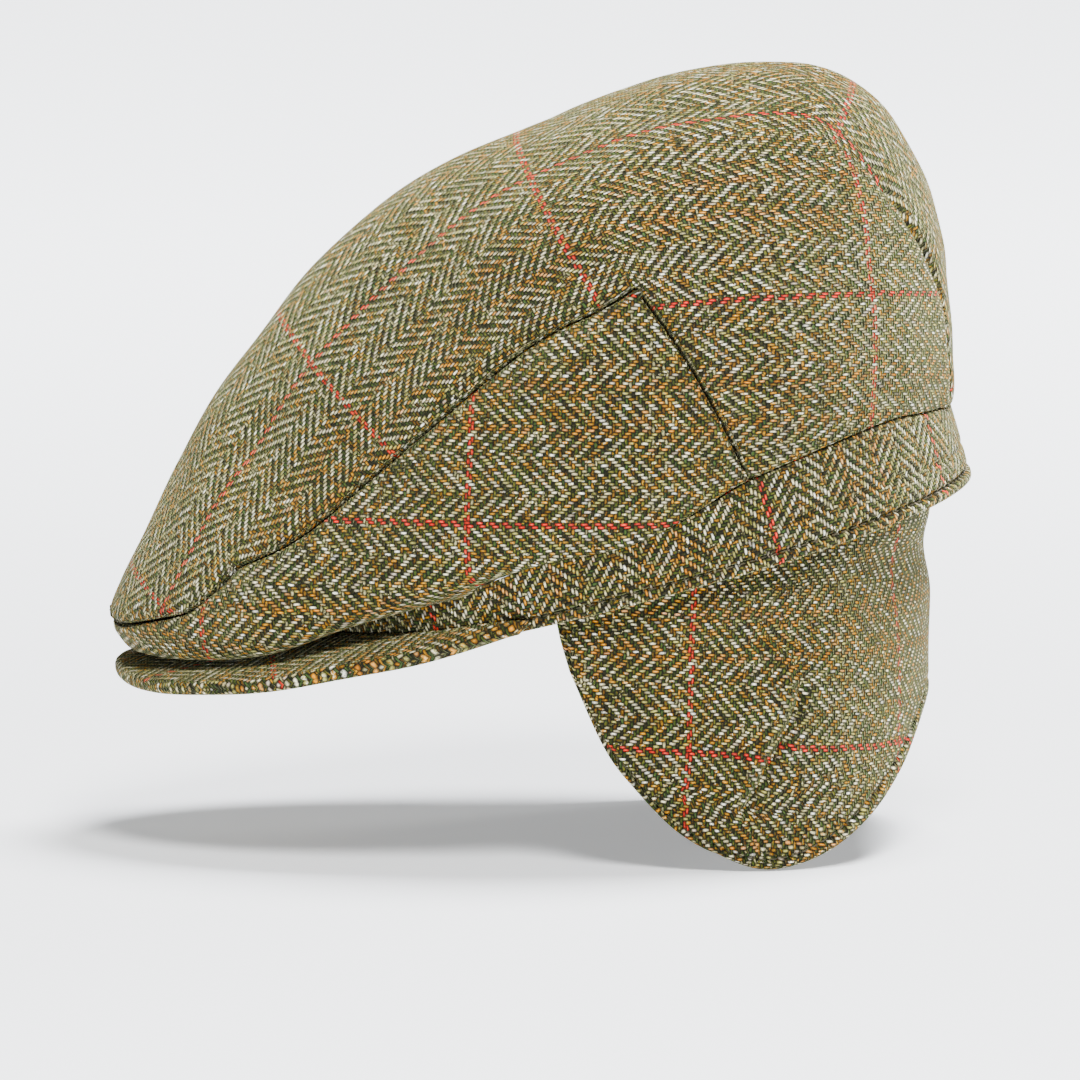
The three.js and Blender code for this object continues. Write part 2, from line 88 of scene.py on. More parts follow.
# Crosswise rows from there back: middle, share of the side panel's rear edge, turn on the band
BACK = np.array([
    (-0.16, 0, 0.613), (-0.09, 1 / 3, 0.613), (-0.03, 2 / 3, 0.613), (0.04, 1, 0.613),
    (0.12, 1, 0.68), (0.2, 1, 0.75), (0.28, 1, 0.812), (0.41, 1, 0.86), (0.55, 1, 0.9),
    (0.68, 1, 0.935), (0.8, 1, 0.96), (0.9, 1, 0.98), (0.97, 1, 0.993),
    (1, 1, 1),
])
# Dart at the back: turn, out
DART = np.array([
    (0.96, 1), (0.953, 0.848), (0.928, 0.76), (0.897, 0.674), (0.864, 0.572), (0.828, 0.452),
])
# Band section: up, inset
BAND_ROWS = np.array([(0, 0.1), (0.12, 0.045), (0.5, 0), (0.85, 0), (1, 0.01)])
# Flap: angle on the band, angle at the hem, share of the drop
FLAP = np.array([
    (-15.5, -15, 0.16), (-11, -12.5, 0.45), (-7, -9.2, 0.61), (-2, -4, 0.796),
    (6, 3, 0.93), (16, 13, 0.995), (28, 29, 0.99), (40, 45.5, 0.917),
    (52, 59.3, 0.829), (64, 71.7, 0.735), (77, 80, 0.68), (90, 90, 0.657),
])
# How far the flap leans in: share of the drop, share of the lean
LEAN = np.array([
    (-0.15, 0), (0, 0.17), (0.07, 0.3), (0.16, 0.42), (0.34, 0.49), (0.6, 0.7), (1, 1),
])
# Crease behind the ear: y, z
CREASE = np.array([(39, -42), (32, -52), (19.5, -65.5), (12, -73.5)])

# Pixels of the photograph on coloured lines: one on a lengthwise and one on a crosswise line of the crown,
# and two and one of the other panels
CROWN_LINES = ((424, 250), (546, 223))
SIDE_LINES = ((345, 517), (675, 525), (465, 467))
FLAP_LINES = ((600, 745), (745, 747), (685, 700))
# Band: angle of a coloured end, shift of its picks. Peak: where two coloured lines cross.
BAND_LINE, BAND_SHIFT, PEAK_LINE = 21.5, 30, (36.0, -120.0)
# Hollows that the photograph shows: two pixels, width, depth
CROWN_DENTS = [((644, 119), (756, 97), 4.0, 1.1), ((205, 470), (262, 430), 6.0, 0.7)]
FLAP_DENTS = [((634, 690), (705, 735), 2.6, 1.9), ((900, 560), (880, 640), 9.0, 1.0)]
# Swell of the cloth: height, width, seed
CROWN_SWELL = [(0.5, 34, 3), (0.25, 14, 4)]
SIDE_SWELL = [(0.45, 34, 5), (0.25, 14, 6)]
BAND_SWELL, PEAK_SWELL = [(0.3, 22, 9)], [(0.2, 26, 11)]
FLAP_SWELL = [(0.5, 40, 13), (0.2, 15, 14)]

# How the cloth turns down at its seams: width, depth
SEAM_ROLL, HEM_ROLL, CENTRE_ROLL, FOOT_ROLL = (3.6, 1.2), (2.0, 0.25), (2.0, 0.5), (2.5, 0.3)
# Distances from a seam and from the crown's hem over which the swell comes in
CALM_SEAM, CALM_HEM = 12, 8
# Depths of the rows that turn in at a seam
TUCK = (0.5, 1.2, 2.2, 3.4)
# Height of the band's stitches, and distance of the flap's from its hem
BAND_STITCHES, FLAP_STITCHES = 3.4, 5.0
STITCH_LENGTH, STITCH_GAP, STITCH_RADIUS, STITCH_SINK, STITCH_SIDES = 2.7, 0.9, 0.3, 0.1, 6
# Rings of a stitch: place along it, share of its radius
STITCH = np.array([(-0.5, 0.25), (-0.36, 0.85), (0, 1), (0.36, 0.85), (0.5, 0.25)])

# Spacing of the crosswise rows, and columns of the crown on either side of the dart
ROW_SPACING, CROWN_COLUMNS = 2.0, (40, 30)
# Columns of a side panel on its wall, round its fold and under the overhang
SIDE_COLUMNS = (38, 10, 24)
# Rows round the band and across the peak
BAND_PLACES, PEAK_PLACES = 400, 190
# Distances from an edge that is drawn finely
EDGE_STEPS = np.array([0, 0.04, 0.2, 0.5, 0.9, 1.4, 1.9, 2.5, 3.2, 3.9, 4.6, 5.3, 6.0, 6.7, 7.4, 8.2])
# Columns at a rounded edge, in shares of its radius
ROUND_STEPS = np.array([0, 0.06, 0.3, 0.75, 1.4])
# Columns from an edge to the place that gives the way its threads run
TUCK_LOOK, ROUND_LOOK = 6, 8
# Points this far to the left of the middle and further are matched to the photograph
SEEN_FROM = 8.0
# Waves in a swell, and how firmly flattening holds a column and a single point
RIPPLES, HOLD_FIRM, HOLD_SOFT = 14, 1e3, 1e-3
TINY, FAR = 1e-12, 1e9


# Curves and surfaces of the cap

def hermite(xs, ys, x, flat=False):
    """Smooth curve through the rows, for whole arrays."""
    x = np.asarray(x, float)
    slope = np.diff(ys) / np.diff(xs)
    tangent = np.empty(len(ys))
    tangent[1:-1] = (slope[:-1] + slope[1:]) / 2
    tangent[0] = 0 if flat else slope[0]
    tangent[-1] = 0 if flat else slope[-1]
    i = np.clip(np.searchsorted(xs, x, side="right") - 1, 0, len(xs) - 2)
    width = xs[i + 1] - xs[i]
    t = (x - xs[i]) / width
    s = 1 - t
    bend = width * t * s * (s * tangent[i] - t * tangent[i + 1])
    return s * s * (1 + 2 * t) * ys[i] + t * t * (3 - 2 * t) * ys[i + 1] + bend


def curved(rows, k, at):
    return hermite(np.arange(len(rows), dtype=float), rows[:, k], at)


def between(rows, k, at):
    return np.interp(at, np.arange(len(rows)), rows[:, k])


def smooth(x, lo, hi):
    t = np.clip((np.asarray(x, float) - lo) / (hi - lo), 0, 1)
    return t * t * (3 - 2 * t)


def oval(angle, across, along, power=OVAL_POWER):
    c, s = np.cos(np.radians(angle)), np.sin(np.radians(angle))
    bend = 2 / power
    return across * np.sign(c) * np.abs(c) ** bend, along * np.sign(s) * np.abs(s) ** bend


def left_angle(angle):
    turned = np.mod(np.asarray(angle, float) + 90, 360) - 90
    return np.where(turned > 90, 180 - turned, turned)


def band_top(angle):
    angle = np.maximum(left_angle(angle), OVERHANG_END)
    return BAND_HEIGHT * hermite(EDGE[:, 0], EDGE[:, 2], angle, True)


def crown_edge(turn):
    angle = (2 * turn - 1) * 90
    x, y = oval(angle, HALF_WIDTH, HALF_LENGTH)
    forward = OVERHANG * hermite(EDGE[:, 0], EDGE[:, 1], angle, True)
    rise = BAND_HEIGHT * hermite(EDGE[:, 0], EDGE[:, 2], angle, True)
    return x, y - forward, rise + BAND_ROOM


def crown_point(turn, out):
    ex, ey, ez = crown_edge(turn)
    dy = ey - CROWN_SETBACK
    facing = dy / np.hypot(ex, dy)
    front, back = np.maximum(-facing, 0) ** 2, np.maximum(facing, 0) ** 2
    shares = (front, 1 - front - back, back)
    at = PROFILE[:, 0]
    go = sum(w * hermite(at, PROFILE[:, k], out) for w, k in zip(shares, (1, 3, 5)))
    up = sum(w * hermite(at, PROFILE[:, k], out) for w, k in zip(shares, (2, 4, 6)))
    return np.stack([ex * go, CROWN_SETBACK + dy * go, mix(ez, CROWN_HEIGHT, up)], -1)


def on_disc(turn, out):
    return np.stack([out * np.sin(np.pi * turn), -out * np.cos(np.pi * turn)], -1)


def from_disc(q):
    turn = np.arctan2(np.abs(q[..., 0]), -q[..., 1]) / np.pi
    return crown_point(turn, np.hypot(q[..., 0], q[..., 1]))


def mix(a, b, t):
    return a + (b - a) * t


def lengths(p, axis):
    """Distance run along the grid from its first row or column."""
    step = np.linalg.norm(np.diff(p, axis=axis), axis=-1)
    start = np.zeros_like(np.take(step, [0], axis=axis))
    return np.concatenate([start, np.cumsum(step, axis=axis)], axis=axis)


def normals(p, row, column, axis, wrap=False):
    """Unit normals, on the side of the cloth where the one at this row and column points along the axis."""
    if wrap:
        p = np.concatenate([p[-1:], p, p[:1]])
    n = np.cross(np.gradient(p, axis=0), np.gradient(p, axis=1))
    if wrap:
        n = n[1:-1]
    n /= np.maximum(np.linalg.norm(n, axis=-1, keepdims=True), TINY)
    return n if n[row, column, axis] > 0 else -n


def closed(v):
    return np.concatenate([v, v[:1]])


def on_left(p):
    return np.abs(p) * [1, 0, 0] + p * [0, 1, 1]


def sampled(p, run, at):
    """Points of a line of points, at the places that run counts along it."""
    return np.stack([np.interp(at, run, p[:, axis]) for axis in range(3)], -1)


def near(p, line):
    """Distance of every grid point to a line of points."""
    flat = p.reshape(-1, 3)
    best = np.full(len(flat), FAR)
    for a, b in zip(line[:-1], line[1:]):
        d = b - a
        t = np.clip((flat - a) @ d / max(d @ d, TINY), 0, 1)
        best = np.minimum(best, ((flat - a - t[:, None] * d) ** 2).sum(1))
    return np.sqrt(best).reshape(p.shape[:-1])


def roll(d, width, depth):
    """Cloth turning down into a seam at distance d."""
    return -depth * (1 - np.minimum(d / width, 1)) ** 2


def groove(d, at, width, depth):
    """A soft groove at one distance, or a ridge where depth is below 0."""
    return -depth * np.exp(-(((d - at) / width) ** 2))


def swell(p, waves):
    """Soft irregular rise and fall of the cloth, as a sum of waves of given height, width and seed."""
    total = 0
    for height, width, seed in waves:
        r = np.random.default_rng(seed)
        ripple = np.zeros(p.shape[:-1])
        for _ in range(RIPPLES):
            way = r.normal(size=3)
            way *= math.pi / (width * r.uniform(0.7, 1.5)) / np.linalg.norm(way)
            ripple += np.sin(p @ way + r.uniform(0, 6.28))
        total = total + height * ripple / math.sqrt(RIPPLES / 2)
    return total


# Flattening a panel, so that its threads run as they do in the cut cloth

def flatten(p, start, cut=None, level=None, rounds=60):
    """Flat coordinates of a grid of points, with every cell kept as near to its true shape as can be.
    cut is a column and its first open row: the cells after it have points of their own there, so that the
    dart can open. level is a column that is held straight."""
    rows, cols = p.shape[:2]
    ids = np.arange(rows * cols).reshape(rows, cols)
    spare = ids.copy()
    total = rows * cols
    if cut is not None:
        column, first = cut
        spare[first:, column] = total + np.arange(rows - first)
        total += rows - first
    corner = np.stack([spare[:-1, :-1], spare[1:, :-1], ids[1:, 1:], ids[:-1, 1:]], -1).reshape(-1, 4)
    shape = cells(p[:-1], p[1:]).reshape(-1, 4, 3)
    n = np.cross(shape[:, 2] - shape[:, 0], shape[:, 3] - shape[:, 1])
    n /= np.linalg.norm(n, axis=1, keepdims=True)
    e1 = shape[:, 1] - shape[:, 0] + shape[:, 2] - shape[:, 3]
    e1 -= n * (e1 * n).sum(1, keepdims=True)
    e1 /= np.linalg.norm(e1, axis=1, keepdims=True)
    e2 = np.cross(n, e1)
    local = np.stack([np.einsum("nkc,nc->nk", shape, e2), np.einsum("nkc,nc->nk", shape, e1)], -1)
    pairs = [(0, 1), (1, 2), (2, 3), (3, 0), (0, 2), (1, 3)]
    matrix = np.zeros((total, total))
    for a, b in pairs:
        for i, j, share in ((a, a, 1), (b, b, 1), (a, b, -1), (b, a, -1)):
            np.add.at(matrix, (corner[:, i], corner[:, j]), share)
    solve = []
    for axis in range(2):
        m = matrix.copy()
        if axis == 0 and level is not None:
            k = ids[:, level]
            m[k, k] += HOLD_FIRM
        else:
            m[0, 0] += HOLD_SOFT
        solve.append(np.linalg.inv(m))
    uv = np.zeros((total, 2))
    uv[ids] = start
    uv[spare] = start
    for _ in range(rounds):
        now = uv[corner]
        sine = cosine = 0
        for a, b in pairs:
            du, dx = now[:, a] - now[:, b], local[:, a] - local[:, b]
            sine = sine + du[:, 1] * dx[:, 0] - du[:, 0] * dx[:, 1]
            cosine = cosine + (du * dx).sum(1)
        turn = np.arctan2(sine, cosine)
        c, s = np.cos(turn), np.sin(turn)
        right = np.zeros((total, 2))
        for a, b in pairs:
            dx = local[:, a] - local[:, b]
            want = np.stack([c * dx[:, 0] - s * dx[:, 1], s * dx[:, 0] + c * dx[:, 1]], -1)
            np.add.at(right, corner[:, a], want)
            np.add.at(right, corner[:, b], -want)
        uv = np.stack([solve[0] @ right[:, 0], solve[1] @ right[:, 1]], -1)
    return uv[ids], uv[spare]


def spread(coarse, at, count, axis):
    """Fills in a grid along one axis, straight between the rows or columns in at."""
    v = np.moveaxis(coarse, axis, 0)
    x = np.arange(count)
    i = np.clip(np.searchsorted(at, x, side="right") - 1, 0, len(at) - 2)
    t = ((x - at[i]) / (at[i + 1] - at[i])).reshape((-1,) + (1,) * (v.ndim - 1))
    return np.moveaxis(v[i] * (1 - t) + v[i + 1] * t, 0, axis)


def every(places, step):
    """Indexes of the rows at whole places, and of about every step rows between them."""
    whole = [0] + [n for n in range(1, len(places) - 1) if abs(places[n] - round(places[n])) < 1e-9]
    whole.append(len(places) - 1)
    made = []
    for lo, hi in zip(whole[:-1], whole[1:]):
        parts = max(1, int(round((hi - lo) / step)))
        made.extend(np.linspace(lo, hi, parts + 1).round().astype(int))
    return np.unique(made)


def weave_of(p, start, rows, cols, cut=None, level=None):
    """Flattens the grid on its chosen rows and columns, then fills in all the others."""
    small = p[np.ix_(rows, cols)]
    if cut is None:
        flat, _ = flatten(small, start[np.ix_(rows, cols)], None, level)
        return spread(spread(flat, rows, p.shape[0], 0), cols, p.shape[1], 1), None
    k = int(np.searchsorted(cols, cut[0]))
    parts = flatten(small, start[np.ix_(rows, cols)], (k, int(np.searchsorted(rows, cut[1]))), level)
    near_side, far_side = (spread(part, rows, p.shape[0], 0) for part in parts)
    left = spread(near_side[:, : k + 1], cols[: k + 1], cut[0] + 1, 1)
    right = spread(far_side[:, k:], cols[k:] - cut[0], p.shape[1] - cut[0], 1)
    return np.concatenate([left, right[:, 1:]], 1), right[:, 0]


def seen(p):
    """Where points are in the photograph, in millimetres across and up from the origin."""
    q = place(p) / MM
    return np.stack([q[..., 1], q[..., 2] * math.cos(PHOTO_RISE) - q[..., 0] * math.sin(PHOTO_RISE)], -1)


def pixel(x, y):
    """A pixel of the photograph, in the same millimetres."""
    return np.array([(x - PHOTO_ORIGIN[0]) / PHOTO_SCALE, (PHOTO_ORIGIN[1] - y) / PHOTO_SCALE])


def spot(uv, p, x, y):
    """Flat cloth that a pixel of the photograph shows, on the side that faces its camera."""
    d = ((seen(p) - pixel(x, y)) ** 2).sum(-1)
    d[p[..., 0] < SEEN_FROM] = FAR
    return uv[np.unravel_index(d.argmin(), d.shape)]


def straighten(uv, p, start, end, cross):
    """Turns and shifts a panel's flat cloth: its coloured lengthwise line runs from start to end in the
    photograph, and a crosswise one goes through cross."""
    first, last, third = (spot(uv, p, *at) for at in (start, end, cross))
    turn = math.atan2(*(last - first))
    c, s = math.cos(turn), math.sin(turn)
    spin = np.array([(c, -s), (s, c)])
    return uv @ spin.T - np.array([(spin @ first)[0], (spin @ third)[1]])


def dented(p, dents):
    """Soft hollows along lines between two pixels of the photograph, on both sides of the cap."""
    q = seen(on_left(p))
    total = 0
    for start, end, width, depth in dents:
        a, b = pixel(*start), pixel(*end)
        t = np.clip(((q - a) @ (b - a)) / ((b - a) @ (b - a)), 0, 1)
        away = np.linalg.norm(q - a - t[..., None] * (b - a), axis=-1)
        # shallower at its ends
        share = 0.35 + 0.65 * np.sin(np.pi * np.clip(t, 0.08, 0.92))
        total = total + groove(away, 0, width, depth) * share
    return total


def tucked(p, normal, uv, side):
    """Adds the cloth that turns in at a seam, along the first or last row or column."""
    axis = 0 if "row" in side else 1
    q, n, w = (np.moveaxis(v, axis, 0) for v in (p, normal, uv))
    edge = -1 if "last" in side else 0
    inner = -1 - TUCK_LOOK if "last" in side else TUCK_LOOK
    way = w[edge] - w[inner]
    way = way / np.maximum(np.linalg.norm(way, axis=-1, keepdims=True), TINY)
    made = []
    for grid, step in ((q, -n[edge]), (w, way)):
        more = np.array([grid[edge] + step * d for d in TUCK])
        joined = [grid, more] if edge else [more[::-1], grid]
        made.append(np.moveaxis(np.concatenate(joined), 0, axis))
    return made


def round_over(uv, d, radius, side):
    """Lets the threads run on round a rounded edge at distance d, along the first or last column."""
    t = np.clip(1 - d / radius, 0, 1)
    extra = radius * (np.arcsin(t) - t)
    edge, inner = (-1, -1 - ROUND_LOOK) if side == "last" else (0, ROUND_LOOK)
    way = uv[:, edge] - uv[:, inner]
    way = way / np.linalg.norm(way, axis=-1, keepdims=True)
    return uv + way[:, None] * extra[..., None]


# Meshes

def place(p):
    """Cap frame in millimetres to the row frame in metres."""
    y = p[..., 1] * math.cos(TILT) - p[..., 2] * math.sin(TILT)
    z = p[..., 1] * math.sin(TILT) + p[..., 2] * math.cos(TILT)
    return np.stack([p[..., 0], y, z], -1) * MM


def add_object(name, data):
    obj = bpy.data.objects.new(name, data)
    bpy.context.scene.collection.objects.link(obj)
    return obj


def mesh_object(name, verts, faces, material, nodes=(), uv=None):
    """One piece of the scene, from points in the cap frame."""
    mesh = bpy.data.meshes.new(name)
    mesh.from_pydata(place(verts).tolist(), [], faces)
    if uv is not None:
        layer = mesh.uv_layers.new(name="Weave")
        layer.data.foreach_set("uv", np.ascontiguousarray(uv, dtype=np.float32).ravel())
    mesh.polygons.foreach_set("use_smooth", np.ones(len(faces), dtype=bool))
    mesh.materials.append(material)
    mesh.update()
    obj = add_object(name, mesh)
    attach(obj, "root")
    if nodes:
        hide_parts(*nodes)
    return obj


def cells(grid, following):
    """The four corners of each cell, between a grid's rows and the rows that follow them."""
    return np.stack([grid[:, :-1], following[:, :-1], following[:, 1:], grid[:, 1:]], 2)


def cloth(name, middle, normal, half, uv, material, slot_name, node, wrap=False, flip=False, cut_uv=()):
    """A closed piece of cloth: two faces over one grid that meet all along its free edges.
    cut_uv gives, for one side of the cells of a column, the flat cloth that it has there instead."""
    rows, cols = middle.shape[:2]
    edge = np.zeros((rows, cols), bool)
    edge[:, 0] = edge[:, -1] = True
    if not wrap:
        edge[0] = edge[-1] = True
    wall = normal * np.where(edge, 0, half)[..., None]
    front = np.arange(rows * cols).reshape(rows, cols)
    behind = np.where(edge, front, front + rows * cols)
    count = rows if wrap else rows - 1
    paint = cells(uv[:count], uv[1:])
    for column, at, side in cut_uv:
        here, following = (0, 1) if at == "left" else (3, 2)
        paint[:, column, here] = side[:-1]
        paint[:, column, following] = side[1:]
    quads, corners = [], []
    for ids, back in ((front, False), (behind, True)):
        order = [0, 1, 2, 3] if back == flip else [0, 3, 2, 1]
        quads.append(cells(ids[:count], np.roll(ids, -1, 0)[:count])[:, :, order].reshape(-1, 4))
        corners.append(paint[:, :, order].reshape(-1, 4, 2))
    quads, corners = np.concatenate(quads), np.concatenate(corners)
    verts = np.concatenate([middle + wall, middle - wall]).reshape(-1, 3)
    used = np.unique(quads)
    index = np.zeros(len(verts), int)
    index[used] = np.arange(len(used))
    return mesh_object(name, verts[used], index[quads].tolist(), material, [node], corners)


def rim(d, radius):
    """Half thickness of cloth whose free edge is round, at distance d from that edge."""
    t = np.minimum(d / radius, 1)
    return np.sqrt(np.maximum(1 - (1 - t) ** 2, 0))


def edge_steps(length, spacing, radius, first=True):
    """Places from 0 to 1 along a length, closer together at its rounded end and, if first, at its start."""
    close = ROUND_STEPS * radius / length
    lo, hi = close if first else close[:1], 1 - close[::-1]
    n = max(2, int(round((hi[0] - lo[-1]) * length / spacing)))
    return np.concatenate([lo, np.linspace(lo[-1], hi[0], n + 1)[1:-1], hi])


def walled(p, normal, relief, thickness):
    """Middle of a cloth whose outer face lies on p, raised by its relief, and half its thickness, which is
    rounded off along the first and last column."""
    run = lengths(p, 1)
    half = rim(np.minimum(run, run[:, -1:] - run), thickness / 2) * thickness / 2
    return p + normal * (relief - thickness / 2)[..., None], half


# Tweed

# Millimetres from one pick to the next, and from one end to the next
PICK, END = 1.03, 0.98
# Ends and stripes in a repeat of the overcheck, and picks in one
REPEAT, STRIPES, WEFT_REPEAT = 74, 7, 87
# Threads in a red line, and how far from the middle of the repeat the two orange ends lie
RED_THREADS, ORANGE_AT = 2, 7
RED_WARP, RED_WEFT, ORANGE, OCHRE = (234, 26, 6), (204, 28, 14), (204, 124, 2), (192, 124, 4)
# Colours of the yarns: where each starts in the draw, colour
PALE = [(0, (230, 222, 182)), (0.2, (192, 182, 132)), (0.4, (162, 156, 80)), (0.56, (192, 130, 4)),
        (0.7, (130, 90, 12)), (0.77, (88, 86, 32)), (0.87, (180, 164, 142)), (0.93, (250, 248, 228))]
DARK = [(0, (50, 62, 16)), (0.3, (34, 32, 10)), (0.48, (82, 82, 22)), (0.64, (100, 68, 10)),
        (0.76, (50, 72, 30)), (0.86, (168, 116, 6)), (0.93, (164, 158, 110))]
# Parts that shade a float, each a gain and what is added
HOLLOW, FUZZ, OWN, SLOW = (1.6, 0.02), (1.8, 0.1), (0.9, 0.55), (0.35, 0.6)
HOLLOW_POWER = 1.7
# Heights of the floats, the fine fibre and the plies of sewing thread, in metres
FLOAT_RELIEF, FUZZ_RELIEF, PLY_RELIEF = 0.0005, 0.00018, 0.00012


def linear(colour):
    """Screen colour in 0 to 255, as the linear colour that the shaders want."""
    c = np.array(colour, float) / 255
    c = np.where(c <= 0.04045, c / 12.92, ((c + 0.055) / 1.055) ** 2.4)
    return (*c, 1.0)


class Nodes:
    """Short calls for a material's nodes. A plain value goes straight into its socket."""

    def __init__(self, name):
        self.material = bpy.data.materials.new(name)
        self.material.use_nodes = True
        self.tree = self.material.node_tree
        self.tree.nodes.clear()

    def add(self, kind, inputs=None, **settings):
        """A new node, with inputs by name or number."""
        node = self.tree.nodes.new(kind)
        for key, value in settings.items():
            setattr(node, key, value)
        for key, value in (inputs or {}).items():
            if hasattr(value, "is_output"):
                self.tree.links.new(value, node.inputs[key])
            else:
                node.inputs[key].default_value = value
        return node

    def math(self, op, *values):
        return self.add("ShaderNodeMath", dict(enumerate(values)), operation=op).outputs[0]

    def plus(self, a, b):
        return self.math("ADD", a, b)

    def minus(self, a, b):
        return self.math("SUBTRACT", a, b)

    def times(self, a, b):
        return self.math("MULTIPLY", a, b)

    def scaled(self, value, gain, more):
        return self.math("MULTIPLY_ADD", value, gain, more)

    def less(self, a, b):
        return self.math("LESS_THAN", a, b)

    def floor(self, value):
        return self.math("FLOOR", value)

    def within(self, value, period):
        return self.math("FLOORED_MODULO", value, period)

    def mix(self, share, a, b):
        return self.add("ShaderNodeMix", {0: share, 6: a, 7: b}, data_type="RGBA").outputs[2]

    def choose(self, share, no, yes):
        return self.add("ShaderNodeMix", {0: share, 2: no, 3: yes}, data_type="FLOAT").outputs[0]

    def vector(self, x, y, z=0.0):
        return self.add("ShaderNodeCombineXYZ", {0: x, 1: y, 2: z}).outputs[0]

    def white(self, x, y, z):
        return self.add("ShaderNodeTexWhiteNoise", {"Vector": self.vector(x, y, z)}).outputs["Value"]

    def noise(self, where, scale, detail=2.0, rough=0.5):
        inputs = {"Vector": where, "Scale": scale, "Detail": detail, "Roughness": rough}
        return self.add("ShaderNodeTexNoise", inputs).outputs[0]

    def step(self, value, lo, hi):
        inputs = {0: value, 1: lo, 2: hi}
        return self.add("ShaderNodeMapRange", inputs, interpolation_type="SMOOTHSTEP").outputs[0]

    def ramp(self, value, stops):
        node = self.add("ShaderNodeValToRGB", {0: value})
        line = node.color_ramp
        line.interpolation = "CONSTANT"
        while len(line.elements) < len(stops):
            line.elements.new(0.5)
        for element, (at, colour) in zip(line.elements, stops):
            element.position = at
            element.color = linear(colour)
        return node.outputs[0]

    def bump(self, height):
        return self.add("ShaderNodeBump", {"Strength": 1.0, "Distance": 1.0, "Height": height}).outputs[0]

    def place(self):
        return self.add("ShaderNodeTexCoord").outputs["Object"]

    def surface(self, inputs):
        """Ends the material in a principled shader."""
        shader = self.add("ShaderNodeBsdfPrincipled", inputs)
        self.add("ShaderNodeOutputMaterial", {0: shader.outputs[0]})
        return self.material


def tweed(name, light=1.0):
    """Herringbone wool. Across and down the flat cloth are a and b, in millimetres: ends run along b."""
    g = Nodes(name)
    uv = g.add("ShaderNodeUVMap", uv_map="Weave").outputs[0]
    split = g.add("ShaderNodeSeparateXYZ", {0: uv}).outputs
    where = g.place()
    # threads wander a little
    a = g.scaled(g.minus(g.noise(where, 240.0), 0.5), 0.8, split[0])
    b = g.scaled(g.minus(g.noise(g.vector(split[1], split[0]), 0.5), 0.5), 1.1, split[1])
    ends, picks = g.math("DIVIDE", a, END), g.math("DIVIDE", b, PICK)
    i, j = g.floor(ends), g.floor(picks)
    in_end, in_pick = g.math("FRACT", ends), g.math("FRACT", picks)

    # the twill turns at each stripe, by a whole number of ends and with a step of one pick
    end_in = g.within(i, REPEAT)
    repeat = g.floor(g.math("DIVIDE", i, REPEAT))
    stripe = g.floor(g.times(g.plus(end_in, 0.001), STRIPES / REPEAT))
    first = g.math("CEIL", g.scaled(stripe, REPEAT / STRIPES, -0.001))
    odd = g.within(g.scaled(repeat, STRIPES, stripe), 2.0)
    way = g.scaled(odd, -2.0, 1.0)
    step = g.plus(g.minus(j, g.times(way, g.minus(end_in, first))), odd)
    k = g.within(step, 4.0)
    float_id = g.floor(g.math("DIVIDE", step, 4.0))
    is_warp = g.less(k, 1.5)

    # height of the float, from how far along and across it a place is
    warp_along = g.times(g.plus(k, in_pick), 0.5)
    weft_along = g.times(g.plus(g.plus(in_end, 0.5), g.times(way, g.minus(2.5, k))), 0.5)
    along = g.math("SINE", g.times(g.choose(is_warp, weft_along, warp_along), math.pi))
    across = g.math("SINE", g.times(g.choose(is_warp, in_pick, in_end), math.pi))
    along = g.math("POWER", g.math("MAXIMUM", along, 0.001), 0.8)
    across = g.math("POWER", g.math("MAXIMUM", across, 0.001), 0.95)
    height = g.times(across, g.scaled(along, 0.85, 0.15))

    # each float of yarn is spun of two colours, and near the orange pair of ends more of it is ochre
    thread_id = g.choose(is_warp, j, i)
    from_middle = g.math("ABSOLUTE", g.minus(end_in, REPEAT / 2))
    from_pair = g.math("ABSOLUTE", g.minus(from_middle, ORANGE_AT))
    one = g.white(thread_id, float_id, is_warp)
    two = g.white(thread_id, float_id, g.plus(is_warp, 4.0))
    spun = g.step(g.noise(where, 1500.0, 2.0, 0.6), 0.53, 0.6)
    warp_yarn = g.mix(spun, g.ramp(one, PALE), g.ramp(two, PALE))
    weft_yarn = g.mix(spun, g.ramp(one, DARK), g.ramp(two, DARK))
    close = g.minus(1.0, g.step(from_pair, 2.0, 9.0))
    more = g.less(g.white(float_id, thread_id, 9.0), g.times(close, 0.2))
    warp_yarn = g.mix(g.times(more, 0.9), warp_yarn, linear(OCHRE))
    colour = g.mix(is_warp, weft_yarn, warp_yarn)

    # coloured lines: threads, share of the colour
    red_warp = g.times(is_warp, g.less(end_in, RED_THREADS - 0.5))
    red_weft = g.times(g.minus(1.0, is_warp), g.less(g.within(j, WEFT_REPEAT), RED_THREADS - 0.5))
    orange = g.times(is_warp, g.less(from_pair, 0.5))
    for line, share, dye in ((orange, 0.8, ORANGE), (red_warp, 0.95, RED_WARP), (red_weft, 0.82, RED_WEFT)):
        colour = g.mix(g.times(line, share), colour, linear(dye))

    # shade of the hollows between the floats, fine fibre, each float's own tone, and slow changes of tone
    fuzz = g.noise(where, 3400.0, 3.0, 0.65)
    shade = g.scaled(g.math("POWER", height, HOLLOW_POWER), *HOLLOW)
    shade = g.times(shade, g.scaled(fuzz, *FUZZ))
    shade = g.times(shade, g.scaled(g.white(thread_id, float_id, 7.0), *OWN))
    shade = g.times(shade, g.scaled(g.noise(where, 22.0), SLOW[0], SLOW[1] * light))
    value = g.add("ShaderNodeVectorMath", {0: colour, "Scale": shade}, operation="SCALE").outputs[0]
    normal = g.bump(g.scaled(fuzz, FUZZ_RELIEF, g.times(height, FLOAT_RELIEF)))
    return g.surface({"Base Color": value, "Normal": normal, "Roughness": 0.92, "Specular IOR Level": 0.2,
                      "Sheen Weight": 0.32, "Sheen Roughness": 0.35, "Sheen Tint": linear((214, 222, 160))})


